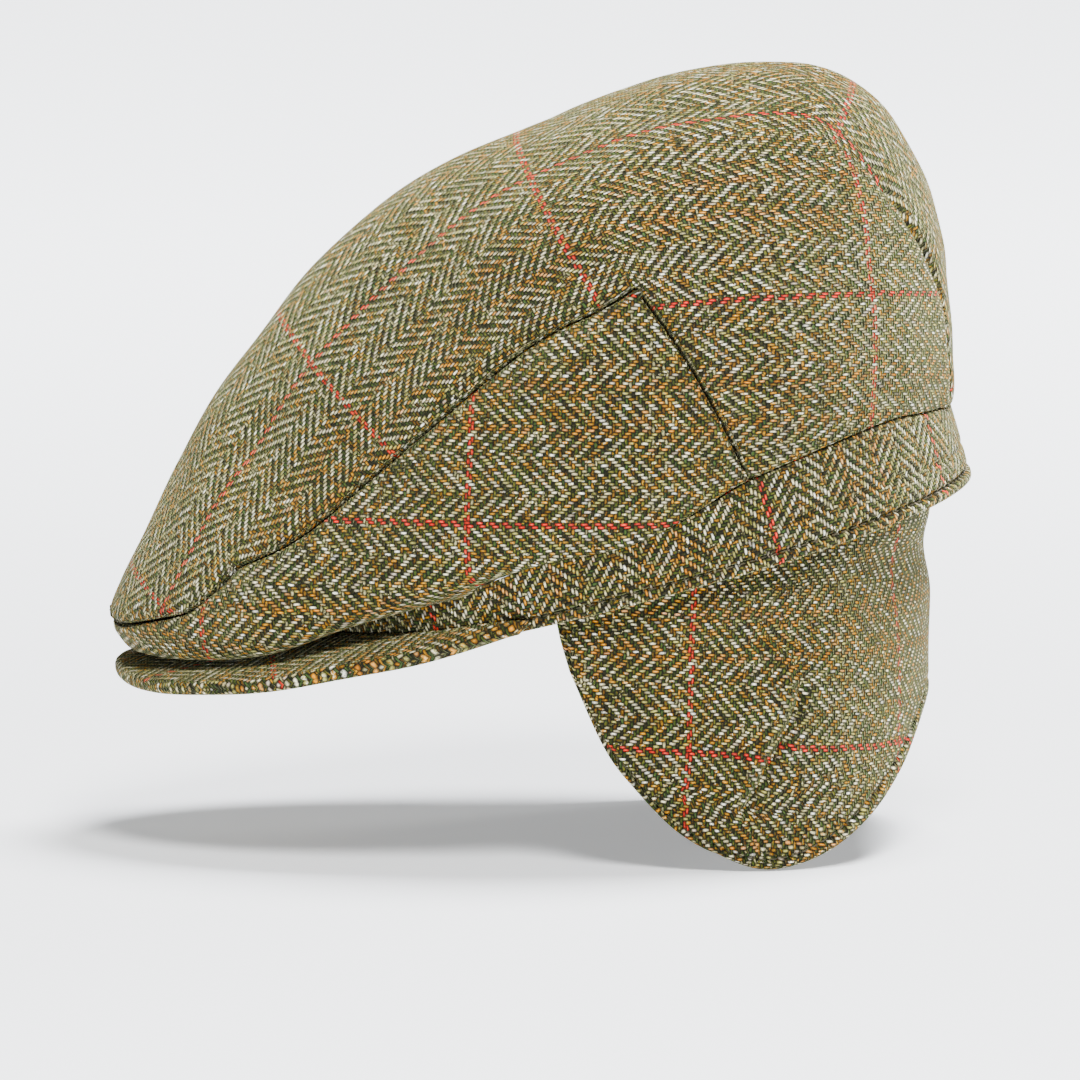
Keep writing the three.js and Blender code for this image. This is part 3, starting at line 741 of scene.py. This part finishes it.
def sewing_thread(colour=(84, 76, 44)):
    """Thread with the twist of its plies in its colour and bump."""
    g = Nodes("sewing_thread")
    twist = g.noise(g.place(), 3200.0)
    tone = g.mix(twist, linear([c * 0.6 for c in colour]), linear(colour))
    normal = g.bump(g.times(twist, PLY_RELIEF))
    return g.surface({"Base Color": tone, "Normal": normal, "Roughness": 0.7, "Sheen Weight": 0.3})


# Camera, floor and light, in metres

LENS, SENSOR = 800, 36
LOOK_AT = Vector((0.06, -0.0333, 0.0072 + 0.06 * math.tan(PHOTO_RISE)))
FLOOR_HALF, FLOOR_HEIGHT = 6.0, -0.0868
# The floor's own light: distances where it starts and ends to rise, its rise, its least
GLOW_FROM, GLOW_TO, GLOW, GLOW_LEAST = 0.15, 1.6, 2.4, 0.42
# Lamps: name, place, size, watts, colour
LAMPS = [
    ("key", (1.5, 0.3, 2.1), 0.8, 105, (1, 0.985, 0.95)),
    ("top", (-0.3, 0.7, 2.3), 1.1, 190, (1, 1, 1)),
    ("back", (-1.8, 2.0, 1.2), 0.9, 22, (1, 1, 0.96)),
]
WORLD_COLOUR, WORLD_LIGHT = (0.97, 0.985, 1, 1), 0.12


def look(obj, target, way):
    """Puts a camera or lamp at a way off from its target, turned towards it."""
    obj.location = target + way
    obj.rotation_mode = "QUATERNION"
    obj.rotation_quaternion = (-way).to_track_quat("-Z", "Y")


def stage():
    camera = add_object("camera", bpy.data.cameras.new("camera"))
    bpy.context.scene.camera = camera
    camera.data.sensor_width = SENSOR
    camera.data.lens = LENS
    camera.data.clip_end = 60
    # the photograph is as wide as this at the cap
    width = PHOTO_WIDTH / PHOTO_SCALE * MM
    look(camera, LOOK_AT, Vector((math.cos(PHOTO_RISE), 0, math.sin(PHOTO_RISE))) * (width * LENS / SENSOR))

    mesh = bpy.data.meshes.new("floor")
    corners = [(-1, -1), (1, -1), (1, 1), (-1, 1)]
    verts = [(x * FLOOR_HALF, y * FLOOR_HALF, FLOOR_HEIGHT) for x, y in corners]
    mesh.from_pydata(verts, [], [(0, 1, 2, 3)])
    floor = add_object("floor", mesh)
    g = Nodes("floor")
    # the floor glows softly away from the cap and leaves the shade under it
    away = g.add("ShaderNodeVectorMath", {0: g.place()}, operation="LENGTH").outputs["Value"]
    glow = g.scaled(g.step(away, GLOW_FROM, GLOW_TO), GLOW, GLOW_LEAST)
    mesh.materials.append(g.surface({
        "Base Color": (0.84, 0.86, 0.9, 1), "Emission Color": (0.93, 0.96, 1, 1), "Emission Strength": glow,
        "Roughness": 0.9, "Specular IOR Level": 0.1}))

    for name, where, size, watts, colour in LAMPS:
        data = bpy.data.lights.new(name, "AREA")
        data.shape = "DISK"
        data.size = size
        data.energy = watts
        data.color = colour
        look(add_object(name, data), Vector((0, 0, 0)), Vector(where))
    world = bpy.data.worlds.new("world")
    bpy.context.scene.world = world
    world.use_nodes = True
    background = world.node_tree.nodes["Background"]
    background.inputs[0].default_value = WORLD_COLOUR
    background.inputs[1].default_value = WORLD_LIGHT


# Top panel

# Row of FRONT that runs to the side panel's rear corner
CORNER = len(FRONT) - 1
# Ahead of the dart its column moves over this many rows to this share of the row
FRONT_SHARE, SHARE_ROWS = 5 / 9, 70
# Distances of the last columns from the seam, and of the last one from its very edge
SEAM_STEPS, SEAM_GAP = np.array([3.6, 2.6, 1.8, 1.1, 0.5, 0]), 0.15
# The cloth is steamed over the block: threads closer down the side and wider apart to the back
EASE = [1.13, 0.88]
# Fold along the dart, which fades in over so many rows: distance, width, depth
DART_FOLD, DART_ROWS = [(0, 1.3, 1.9), (7, 5, -0.7)], (-2, 22)


def side_ends(p):
    """Top and foot of the side panel's sections, on the disc."""
    return on_disc(curved(FRONT, 1, p), curved(FRONT, 2, p)), on_disc(curved(FRONT, 3, p), 1)


def row_places(first, last, ends):
    """Places between the rows of a table, about ROW_SPACING apart on the cap."""
    made = [first]
    for n in range(math.floor(first), math.ceil(last)):
        lo, hi = max(first, n), min(last, n + 1)
        apart = max(np.linalg.norm(np.diff(from_disc(end), axis=0)) for end in ends(np.array([lo, hi])))
        count = max(1, math.ceil(apart / ROW_SPACING))
        made.extend(lo + (hi - lo) * np.arange(1, count + 1) / count)
    return np.array(made)


def front_rows(p):
    return np.stack([np.zeros(len(p)), between(FRONT, 0, p)], -1), side_ends(p)[0]


def back_rows(p):
    seam = between(BACK, 1, p)
    corner, foot = side_ends(np.array([float(CORNER)]))
    on_seam = corner + (foot - corner) * seam[:, None]
    on_band = on_disc(between(BACK, 2, p), np.ones(len(p)))
    start = np.stack([np.zeros(len(p)), between(BACK, 0, p)], -1)
    return start, np.where(seam[:, None] < 1, on_seam, on_band)


def dart_share(start, end):
    """Share of each row where it crosses the dart, or none."""
    def cross(u, v):
        return u[..., 0] * v[..., 1] - u[..., 1] * v[..., 0]

    line = on_disc(DART[:, 0], DART[:, 1])
    share = np.full(len(start), np.nan)
    row = end - start
    for here, there in zip(line[:-1], line[1:]):
        leg, gap = there - here, here - start
        at, up = cross(gap, leg) / cross(row, leg), cross(gap, row) / cross(row, leg)
        share = np.where((up >= 0) & (up <= 1) & (at > 0) & (at < 1), at, share)
    return share


def crown_top(material):
    front, back = row_places(0.06, CORNER, front_rows), row_places(0, len(BACK) - 1.1, back_rows)[1:]
    start, end = (np.concatenate(v) for v in zip(front_rows(front), back_rows(back)))
    rows = np.arange(len(start))

    # one column runs down the dart, and on from its tip
    share = dart_share(start, end)
    crossed = np.where(np.isfinite(share))[0]
    first, last = crossed[0], crossed[-1]
    share[last + 1:] = share[last]
    share[:first] = mix(FRONT_SHARE, share[first], smooth(rows[:first], first - SHARE_ROWS, first))
    known = np.isfinite(share)
    share = np.interp(rows, rows[known], share[known])
    fold, beyond = CROWN_COLUMNS
    t = np.empty((len(rows), fold + beyond + len(SEAM_STEPS)))
    fine = np.linspace(0, 1, 40)[:, None]
    for r in rows:
        size = lengths(from_disc(mix(start[r], end[r], fine)), 0)[-1]
        off = (SEAM_STEPS + SEAM_GAP) / max(size, 10)
        s = min(share[r], 1 - off[0] - 0.02)
        to_seam = mix(s, 1 - off[0], np.arange(beyond) / beyond)
        t[r] = np.concatenate([s * np.arange(fold) / fold, to_seam, 1 - off])
    half_p = from_disc(mix(start[:, None], end[:, None], t[..., None]))
    half_p[:, 0, 0] = 0

    # flat cloth of the left half, with the dart open
    down = lengths(half_p[:, :1], 0)
    apex = np.argmin(np.abs(start[:, 1]))
    guess = np.stack([lengths(half_p, 1), down - down[apex] + 0 * t], -1)
    pick_rows = np.unique(np.append(every(np.concatenate([front, CORNER + back]), 4), first))
    pick_cols = [np.linspace(0, fold, 14), np.linspace(fold, fold + beyond, 11), [t.shape[1] - 1]]
    pick_cols = np.unique(np.concatenate(pick_cols).round().astype(int))
    weave, side = weave_of(half_p, guess, pick_rows, pick_cols, (fold, first), 0)
    lengthwise, crosswise = (spot(weave, half_p, *at) for at in CROWN_LINES)
    lines = np.array([lengthwise[0], crosswise[1]])
    weave, side = (lines + np.where(v > lines, (v - lines) * EASE, v - lines) for v in (weave, side))

    seam_rows = len(front) + np.searchsorted(back, 3) + 1
    edges = half_p[:seam_rows, -1], half_p[seam_rows - 1:, -1], half_p[first: last + 1, fold]
    half_p, weave = tucked(half_p, normals(half_p, apex, 10, 2), weave, "last column")
    n = half_p.shape[1] - 1
    p = np.concatenate([half_p[:, :0:-1] * [-1, 1, 1], half_p], 1)
    uv = np.concatenate([weave[:, :0:-1] * [-1, 1], weave], 1) - lines
    cells = [(n + fold, "left", side - lines), (n - fold - 1, "right", side * [-1, 1] - lines)]
    normal = normals(p, apex, n, 2)
    to_seam, to_hem, to_dart = (near(on_left(p), edge[::2]) for edge in edges)
    relief = roll(to_seam, *SEAM_ROLL) + roll(to_hem, *HEM_ROLL)
    opened = smooth(rows, first + DART_ROWS[0], first + DART_ROWS[1])[:, None]
    relief += opened * sum(groove(to_dart, *fold_part) for fold_part in DART_FOLD)
    relief += smooth(to_seam, 0, CALM_SEAM) * smooth(to_hem, 0, CALM_HEM) * swell(p, CROWN_SWELL)
    relief += dented(p, CROWN_DENTS)
    middle, half = walled(p, normal, relief, CROWN_CLOTH)
    cloth("crown_top_cloth", middle, normal, half, uv, material, "crown_tweed", "crown_top", cut_uv=cells)


# Side panels, with the cloth turned under the overhang

# Distances of the first columns from the seam
HEAD_STEPS = np.array([0.15, 0.6, 1.2, 1.9, 2.8])
# Fold at the foot of the wall: radius ahead and behind, angles between which it changes
FOLD_RADIUS, FOLD_CHANGE = (4.5, 1.4), (-24, -14)
# Cloth under the overhang: how far it goes in behind the band, angles where that ends and where it is level
UNDER_TUCK, TUCK_ENDS, LEVEL_FROM = 4.0, (OVERHANG_END, -23), (OVERHANG_END - 3, -22)
# Rows over which the way of the threads beyond the fold is evened out
EVENED = 13


def side_panel(mirror, material):
    sections = row_places(0, CORNER, side_ends)
    top, foot = side_ends(sections)
    rows = len(sections)
    wall = from_disc(mix(top[:, None], foot[:, None], np.linspace(0, 1, 60)[None, :, None]))
    wall_run = lengths(wall, 1)
    edge, size = wall[:, -1], wall_run[:, -1]
    angle = (2 * curved(FRONT, 3, sections) - 1) * 90
    under_top = float(band_top(OVERHANG_END)) - CROWN_CLOTH
    level = mix(under_top, edge[:, 2], smooth(angle, *LEVEL_FROM))
    tuck = mix(BAND_ROOM, -UNDER_TUCK, smooth(angle, *TUCK_ENDS))
    inner = np.stack([*oval(angle, HALF_WIDTH + tuck, HALF_LENGTH + tuck), level], -1)
    below = np.linalg.norm(inner - edge, axis=1)

    # each section goes down the wall, round the fold and in under the overhang
    on, bent, under = (np.arange(1, n + 1) / n for n in SIDE_COLUMNS)
    radius = mix(*FOLD_RADIUS, smooth(angle, *FOLD_CHANGE))
    radius = np.minimum(radius, np.minimum(0.42 * size, 0.85 * below))
    p = np.empty((rows, len(HEAD_STEPS) + sum(SIDE_COLUMNS), 3))
    for n in range(rows):
        start = HEAD_STEPS * min(1, size[n] / 8)
        s = np.concatenate([start, mix(start[-1], size[n] - radius[n], on)])
        on_wall = sampled(wall[n], wall_run[n], s)
        out = mix(edge[n], inner[n], radius[n] / below[n])
        q = bent[:, None]
        bend = (1 - q) ** 2 * on_wall[-1] + 2 * q * (1 - q) * edge[n] + q * q * out
        p[n] = np.concatenate([on_wall, bend, mix(out, inner[n], under[:, None])])
    p[0, :, 0] = CLEARANCE / 2
    p[..., 0] = np.maximum(p[..., 0], CLEARANCE / 2)

    wall_end = len(HEAD_STEPS) + SIDE_COLUMNS[0] - 1
    run = lengths(p, 1)
    wall = p[:, : wall_end + 1]
    guess = np.stack([run[:, : wall_end + 1], lengths(p[:, :1], 0) + 0 * wall[..., 0]], -1)
    pick_cols = np.linspace(len(HEAD_STEPS) - 1, wall_end, 12).round().astype(int)
    flat, _ = weave_of(wall, guess, every(sections, 3), np.append(0, pick_cols))
    flat = straighten(flat, wall, *SIDE_LINES)
    # beyond the fold the threads run straight on
    ahead = np.gradient(flat[:, -1], axis=0)
    out = np.stack([ahead[:, 1], -ahead[:, 0]], -1)
    out *= np.sign((out * (flat[:, -1] - flat[:, -6])).sum(1))[:, None]
    padded = np.pad(out, ((EVENED // 2, EVENED // 2), (0, 0)), mode="edge")
    out = np.stack([np.convolve(v, np.ones(EVENED) / EVENED, "valid") for v in padded.T], -1)
    out /= np.linalg.norm(out, axis=1, keepdims=True)
    extra = (run[:, wall_end + 1:] - run[:, wall_end: wall_end + 1])[..., None] * out[:, None]
    uv = np.concatenate([flat, flat[:, -1:] + extra], 1)

    seams, centre = (p[::2, 0], p[-1, : wall_end: 2]), p[0, ::3]
    facing = rows * 2 // 3, 20, 0
    p, uv = tucked(p, normals(p, *facing), uv, "first column")
    p, uv = tucked(p, normals(p, *facing), uv, "last row")
    normal = normals(p, *facing)
    angle = np.append(angle, [angle[-1]] * len(TUCK))
    wall_end += len(TUCK)
    run = lengths(p, 1)
    to_seam = np.minimum(*(near(p, seam) for seam in seams))
    to_foot = np.abs(run - run[:, wall_end: wall_end + 1])
    relief = roll(to_seam, *SEAM_ROLL) + roll(near(p, centre), *CENTRE_ROLL)
    relief += roll(to_foot, *FOOT_ROLL) * smooth(angle, -20, -12)[:, None]
    relief += smooth(to_seam, 0, CALM_SEAM) * swell(p, SIDE_SWELL)
    middle, half = walled(p, normal, relief, CROWN_CLOTH)
    name = "right" if mirror else "left"
    if mirror:
        middle, normal = middle * [-1, 1, 1], normal * [-1, 1, 1]
    cloth("side_cloth_" + name, middle, normal, half, uv, material, "side_tweed", "side_panel_" + name,
          flip=mirror)


# Stitches

def stitches(name, line, outward, material):
    """A row of sewn stitches along a line of points on the cloth, as one piece."""
    run = lengths(line, 0)
    turn = 2 * np.pi * np.arange(STITCH_SIDES) / STITCH_SIDES
    side = np.arange(STITCH_SIDES)
    lift = STITCH_RADIUS * 0.7 * np.cos(np.pi * STITCH[:, 0]) - STITCH_SINK
    verts, faces = [], []
    r = np.random.default_rng(21)
    s = STITCH_LENGTH
    while s < run[-1] - STITCH_LENGTH:
        at = s + STITCH[:, 0] * STITCH_LENGTH * r.uniform(0.9, 1.05)
        mid, up = sampled(line, run, at), sampled(outward, run, at)
        up /= np.linalg.norm(up, axis=1, keepdims=True)
        ahead = mid[-1] - mid[0]
        across = np.cross(up, ahead / np.linalg.norm(ahead))
        ring = across[:, None] * np.cos(turn)[None, :, None] + up[:, None] * np.sin(turn)[None, :, None]
        ring = (mid + up * lift[:, None])[:, None] + STITCH_RADIUS * STITCH[:, 1][:, None, None] * ring
        base = len(verts) + STITCH_SIDES * np.arange(len(STITCH))
        verts.extend(ring.reshape(-1, 3))
        for a, b in zip(base[:-1], base[1:]):
            faces.extend((a + c, a + d, b + d, b + c) for c, d in zip(side, np.roll(side, -1)))
        faces.append(tuple(base[0] + side[::-1]))
        faces.append(tuple(base[-1] + side))
        s += STITCH_LENGTH + STITCH_GAP
    mesh_object(name, np.array(verts), faces, material)


# Band

# Share of its section's inset that the cloth keeps
BAND_INSET = 0.15
# Lip of the lower edge and where it ends, and the groove that the stitches lie in: place, width, depth
LIP, LIP_ENDS, BAND_GROOVE = 0.5, (2.4, 3.4), (3.6, 0.7, 1.5)
# Fold in the band behind the ear: share of its height, width, depth; and the angles where it fades in
BAND_FOLD, FOLD_ANGLES = (0.42, 0.9, 0.7), (10, 30)


def band(material, thread):
    angle = 360 * np.arange(BAND_PLACES) / BAND_PLACES
    top = band_top(angle)[:, None]
    up = edge_steps(24, 0.5, BAND_CLOTH / 2)
    inset = hermite(BAND_ROWS[:, 0], BAND_ROWS[:, 1] * BAND_INSET, up) * BAND_HEIGHT
    height = up * top
    p = np.stack([*oval(angle[:, None], HALF_WIDTH - inset, HALF_LENGTH - inset), height], -1)
    normal = normals(p, 0, 8, 0, wrap=True)
    arc = lengths(closed(p[:, 8]), 0)
    arc -= arc[int(round(BAND_PLACES * BAND_LINE / 360))]
    uv = np.stack([arc[:, None] + 0 * closed(height), closed(height) + BAND_SHIFT], -1)
    uv = round_over(uv, closed(lengths(p, 1)), BAND_CLOTH / 2, "first")
    relief = LIP * (1 - smooth(height, *LIP_ENDS)) + groove(height, *BAND_GROOVE) + swell(p, BAND_SWELL)
    behind = smooth(left_angle(angle), *FOLD_ANGLES)[:, None]
    relief += behind * groove(height, BAND_FOLD[0] * top, *BAND_FOLD[1:])
    middle, half = walled(p, normal, relief, BAND_CLOTH)
    cloth("band_cloth", middle, normal, half, uv, material, "band_tweed", "band", wrap=True)
    outer = (middle + normal * half[..., None])[:, 2:]
    line = np.array([sampled(points, points[:, 2], BAND_STITCHES) for points in outer])
    stitches("band_stitches", closed(line), closed(normal[:, 5]), thread)


# Peak

def peak(material):
    spread_by = min(PEAK_SPREAD * PEAK_WIDTH / 2 / HALF_WIDTH, PEAK_SWEEP)
    corner = math.degrees(math.asin(spread_by ** (OVAL_POWER / 2)))
    back = oval(np.array(corner - 90), HALF_WIDTH, HALF_LENGTH)[1]
    reach = HALF_LENGTH + PEAK_LENGTH + back
    across = PEAK_SWEEP * np.linspace(-1, 1, PEAK_PLACES)
    nose = np.stack(oval(90 * across - 90, PEAK_WIDTH / 2, reach, PEAK_POWER), -1) + [0, back]
    root = np.stack(oval(corner * across - 90, HALF_WIDTH + BAND_ROOM, HALF_LENGTH + BAND_ROOM), -1)
    share = edge_steps(60, 1.7, PEAK_THICKNESS / 2, first=False)
    flat = mix(root[:, None], nose[:, None], share[None, :, None])
    x = np.abs(flat[..., 0]) / (PEAK_WIDTH / 2)
    tip = PEAK_TIP - PEAK_ARCH * x ** PEAK_BOW
    rise = mix(PEAK_ROOT * (1 - x * x), tip, share[None]) + PEAK_THICKNESS / 2
    p = np.concatenate([flat, rise[..., None]], -1)
    middle_row = PEAK_PLACES // 2
    normal = normals(p, middle_row, 5, 2)
    run = lengths(p, 1)
    to_nose = run[:, -1:] - run
    half = rim(to_nose, PEAK_THICKNESS / 2) * PEAK_THICKNESS / 2
    half[:, 0] = half[0] = half[-1] = 0

    # the cloth lies over the arch and round the edge, so its threads are spaced along the curve
    along = lengths(np.stack([p[..., 0], p[..., 2], half], -1), 0)
    along -= (along[middle_row - 1] + along[middle_row]) / 2
    uv = np.stack([along, p[..., 1]], -1) - np.array(PEAK_LINE)
    uv = round_over(uv, to_nose, PEAK_THICKNESS / 2, "last")
    middle = p + normal * swell(p, PEAK_SWELL)[..., None]
    cloth("peak_cloth", middle, normal, half, uv, material, "peak_tweed", "peak")


# Ear and neck flap

# Rows and columns of the flap between its fine edges, and the lengths that these are counted on
FLAP_PLACES, FLAP_SIZE = (140, 58), (250, 105)
# Rows that are added on either side of the crease, in shares of the step between rows
CREASE_STEPS = np.array([0.25, 0.5, 0.75, 1.5])
# Heights over which the row bends into the crease below and above, and where the crease ends
CREASE_FOOT, CREASE_HEAD, CREASE_ENDS = (-102, -76), (-18, -40), (-75, -41)
# The threads dip ahead of the crease and start higher behind it, less with the distance
THREAD_DIP, THREAD_RISE, THREAD_FADE = 2.6, 2.2, 10.0
# Behind the first red line the threads lie closer
FLAP_EASE = 1.14
# Grooves at the hem and crease and under the band's lip: place, width, depth
HEM_GROOVE, CREASE_GROOVE, LIP_GROOVE = (5, 0.8, 1.2), (0, 1.6, 1.7), (-1.5, 3.0, 1.6)
# Bulge ahead of the crease: width, height, and how soon it rises
BULGE_WIDTH, BULGE, BULGE_RISE = 9.0, 1.5, 5.0


def flap_points(angle, down):
    lean = hermite(LEAN[:, 0], LEAN[:, 1], down)
    up = np.maximum(-down * FLAP_DROP, 0) / band_top(angle)
    snug = BAND_CLOTH + CLEARANCE + BAND_HEIGHT * hermite(BAND_ROWS[:, 0], BAND_ROWS[:, 1], up)
    neck = np.where(np.sin(np.radians(angle)) > 0, NECK_LEAN * lean, 0)
    x, y = oval(angle, HALF_WIDTH - snug - SIDE_LEAN * lean, HALF_LENGTH - snug - neck)
    return np.stack([x, y, -down * FLAP_DROP], -1)


def flap_surface(at, cols):
    """Points for a place along FLAP of every row in every column."""
    top, hem, drop = (curved(FLAP, k, at) for k in range(3))
    drop = drop + FLAP_CLOTH / 2 / FLAP_DROP
    return flap_points(mix(top, hem, cols[None]), mix(-FLAP_TUCK / FLAP_DROP, drop, cols[None]))


def creased(rows, cols):
    """Points of the flap's left half, one row of them bent down the crease, and the number of that row."""
    p = flap_surface(np.repeat(rows[:, None], len(cols), 1), cols)
    y, z = CREASE[1:3].mean(0)
    middle_col = np.argmin(np.abs(p[60, :, 2] - z))
    key = np.argmin(np.abs(p[:, middle_col, 1] - y))
    more = (rows[key + 1] - rows[key]) * CREASE_STEPS
    rows = np.sort(np.concatenate([rows, rows[key] - more, rows[key] + more]))
    key += len(more)
    at = np.repeat(rows[:, None], len(cols), 1)
    p = flap_surface(at, cols)
    want = np.interp(-p[key, :, 2], -CREASE[:, 1], CREASE[:, 0])
    reach = smooth(p[key, :, 2], *CREASE_FOOT) * smooth(p[key, :, 2], *CREASE_HEAD)
    fade = smooth(4 - np.abs(rows - rows[key]), 0, 4)[:, None]
    for _ in range(3):
        slope = (p[key + 2, :, 1] - p[key - 2, :, 1]) / (at[key + 2] - at[key - 2])
        at = at + ((want - p[key, :, 1]) * reach / slope) * fade
        want = np.interp(-p[key, :, 2], -CREASE[:, 1], CREASE[:, 0])
        p = flap_surface(at, cols)
    return p, key


def flap(material, thread):
    last = len(FLAP) - 1
    front, hem = EDGE_STEPS / FLAP_SIZE[0], EDGE_STEPS[::-1] / FLAP_SIZE[1]
    cols = np.concatenate([np.linspace(0, 1 - hem[0], FLAP_PLACES[1])[:-1], 1 - hem])
    rows = np.concatenate([front, np.linspace(front[-1], 1, FLAP_PLACES[0])[1:]]) * last
    half_p, key = creased(rows, cols)
    rows = len(half_p)

    run, along = lengths(half_p, 1), lengths(half_p, 0)
    guess = np.stack([run, along[:, :1] + 0 * run], -1)
    pick_rows = np.unique(np.append(np.linspace(len(front) - 1, rows - 1, 46).round().astype(int), [0, key]))
    pick_cols = np.append(np.linspace(0, FLAP_PLACES[1] - 1, 14).round().astype(int), len(cols) - 1)
    weave, _ = weave_of(half_p, guess, pick_rows, pick_cols)
    weave = straighten(weave, half_p, *FLAP_LINES)
    weave[..., 1] *= np.where(weave[..., 1] > 0, FLAP_EASE, 1)
    weave = round_over(weave, run[:, -1:] - run, FLAP_CLOTH / 2, "last")
    line = half_p[key]
    crease = near(half_p, line[(line[:, 2] > CREASE_ENDS[0]) & (line[:, 2] < CREASE_ENDS[1])])
    ahead = (np.arange(rows) < key)[:, None]
    fade = np.exp(-crease / THREAD_FADE)
    weave[..., 0] += np.where(ahead, -THREAD_DIP, THREAD_RISE) * fade
    side = weave[key].copy()
    side[:, 0] -= (THREAD_DIP + THREAD_RISE) * fade[key]

    def both(v):
        return np.concatenate([v, v[-2::-1]])

    def mirrored(flat):
        return np.stack([flat[..., 0], 2 * weave[-1, :, 1] - flat[..., 1]], -1)

    p = np.concatenate([half_p, half_p[-2::-1] * [-1, 1, 1]])
    uv = np.concatenate([weave, mirrored(weave[-2::-1])])
    normal = normals(p, rows // 3, 20, 0)
    run, crease, ahead = both(run), both(crease), both(ahead)
    to_hem, to_front = run[:, -1:] - run, lengths(p, 0)
    to_front = np.minimum(to_front, to_front[-1:] - to_front)
    relief = groove(np.minimum(to_hem, to_front), *HEM_GROOVE) + groove(p[..., 2], *LIP_GROOVE)
    bulge = smooth(crease, 0, BULGE_RISE) * groove(crease, 0, BULGE_WIDTH, -BULGE)
    relief += groove(crease, *CREASE_GROOVE) + np.where(ahead, bulge, 0)
    relief += swell(p, FLAP_SWELL) + dented(p, FLAP_DENTS)
    middle = p + normal * (relief - FLAP_CLOTH / 2)[..., None]
    half = rim(to_hem, FLAP_CLOTH / 2) * rim(to_front, FLAP_CLOTH / 2) * FLAP_CLOTH / 2

    # the stitches stop short of the front edges
    inside = slice(9, len(p) - 9)
    outer = (middle + normal * half[..., None])[inside]
    line = np.array([sampled(points, -far, -FLAP_STITCHES) for points, far in zip(outer, to_hem[inside])])
    stitches("flap_stitches", line, normal[inside, -6], thread)
    turned = [np.moveaxis(v, 0, 1) for v in (middle, normal, half, uv)]
    # the cells ahead of the crease end in the threads of their own side
    cells = [(key - 1, "right", side), (2 * rows - 2 - key, "left", mirrored(side))]
    made = cloth("flap_cloth", *turned, material, "flap_tweed", "ear_neck_flap", flip=True, cut_uv=cells)


stage()
crown_tweed, side_tweed, thread = tweed("crown_tweed"), tweed("side_tweed"), sewing_thread()
crown_top(crown_tweed)
side_panel(False, side_tweed)
side_panel(True, side_tweed)
band(tweed("band_tweed", 0.95), thread)
peak(tweed("peak_tweed"))
flap(tweed("flap_tweed"), thread)
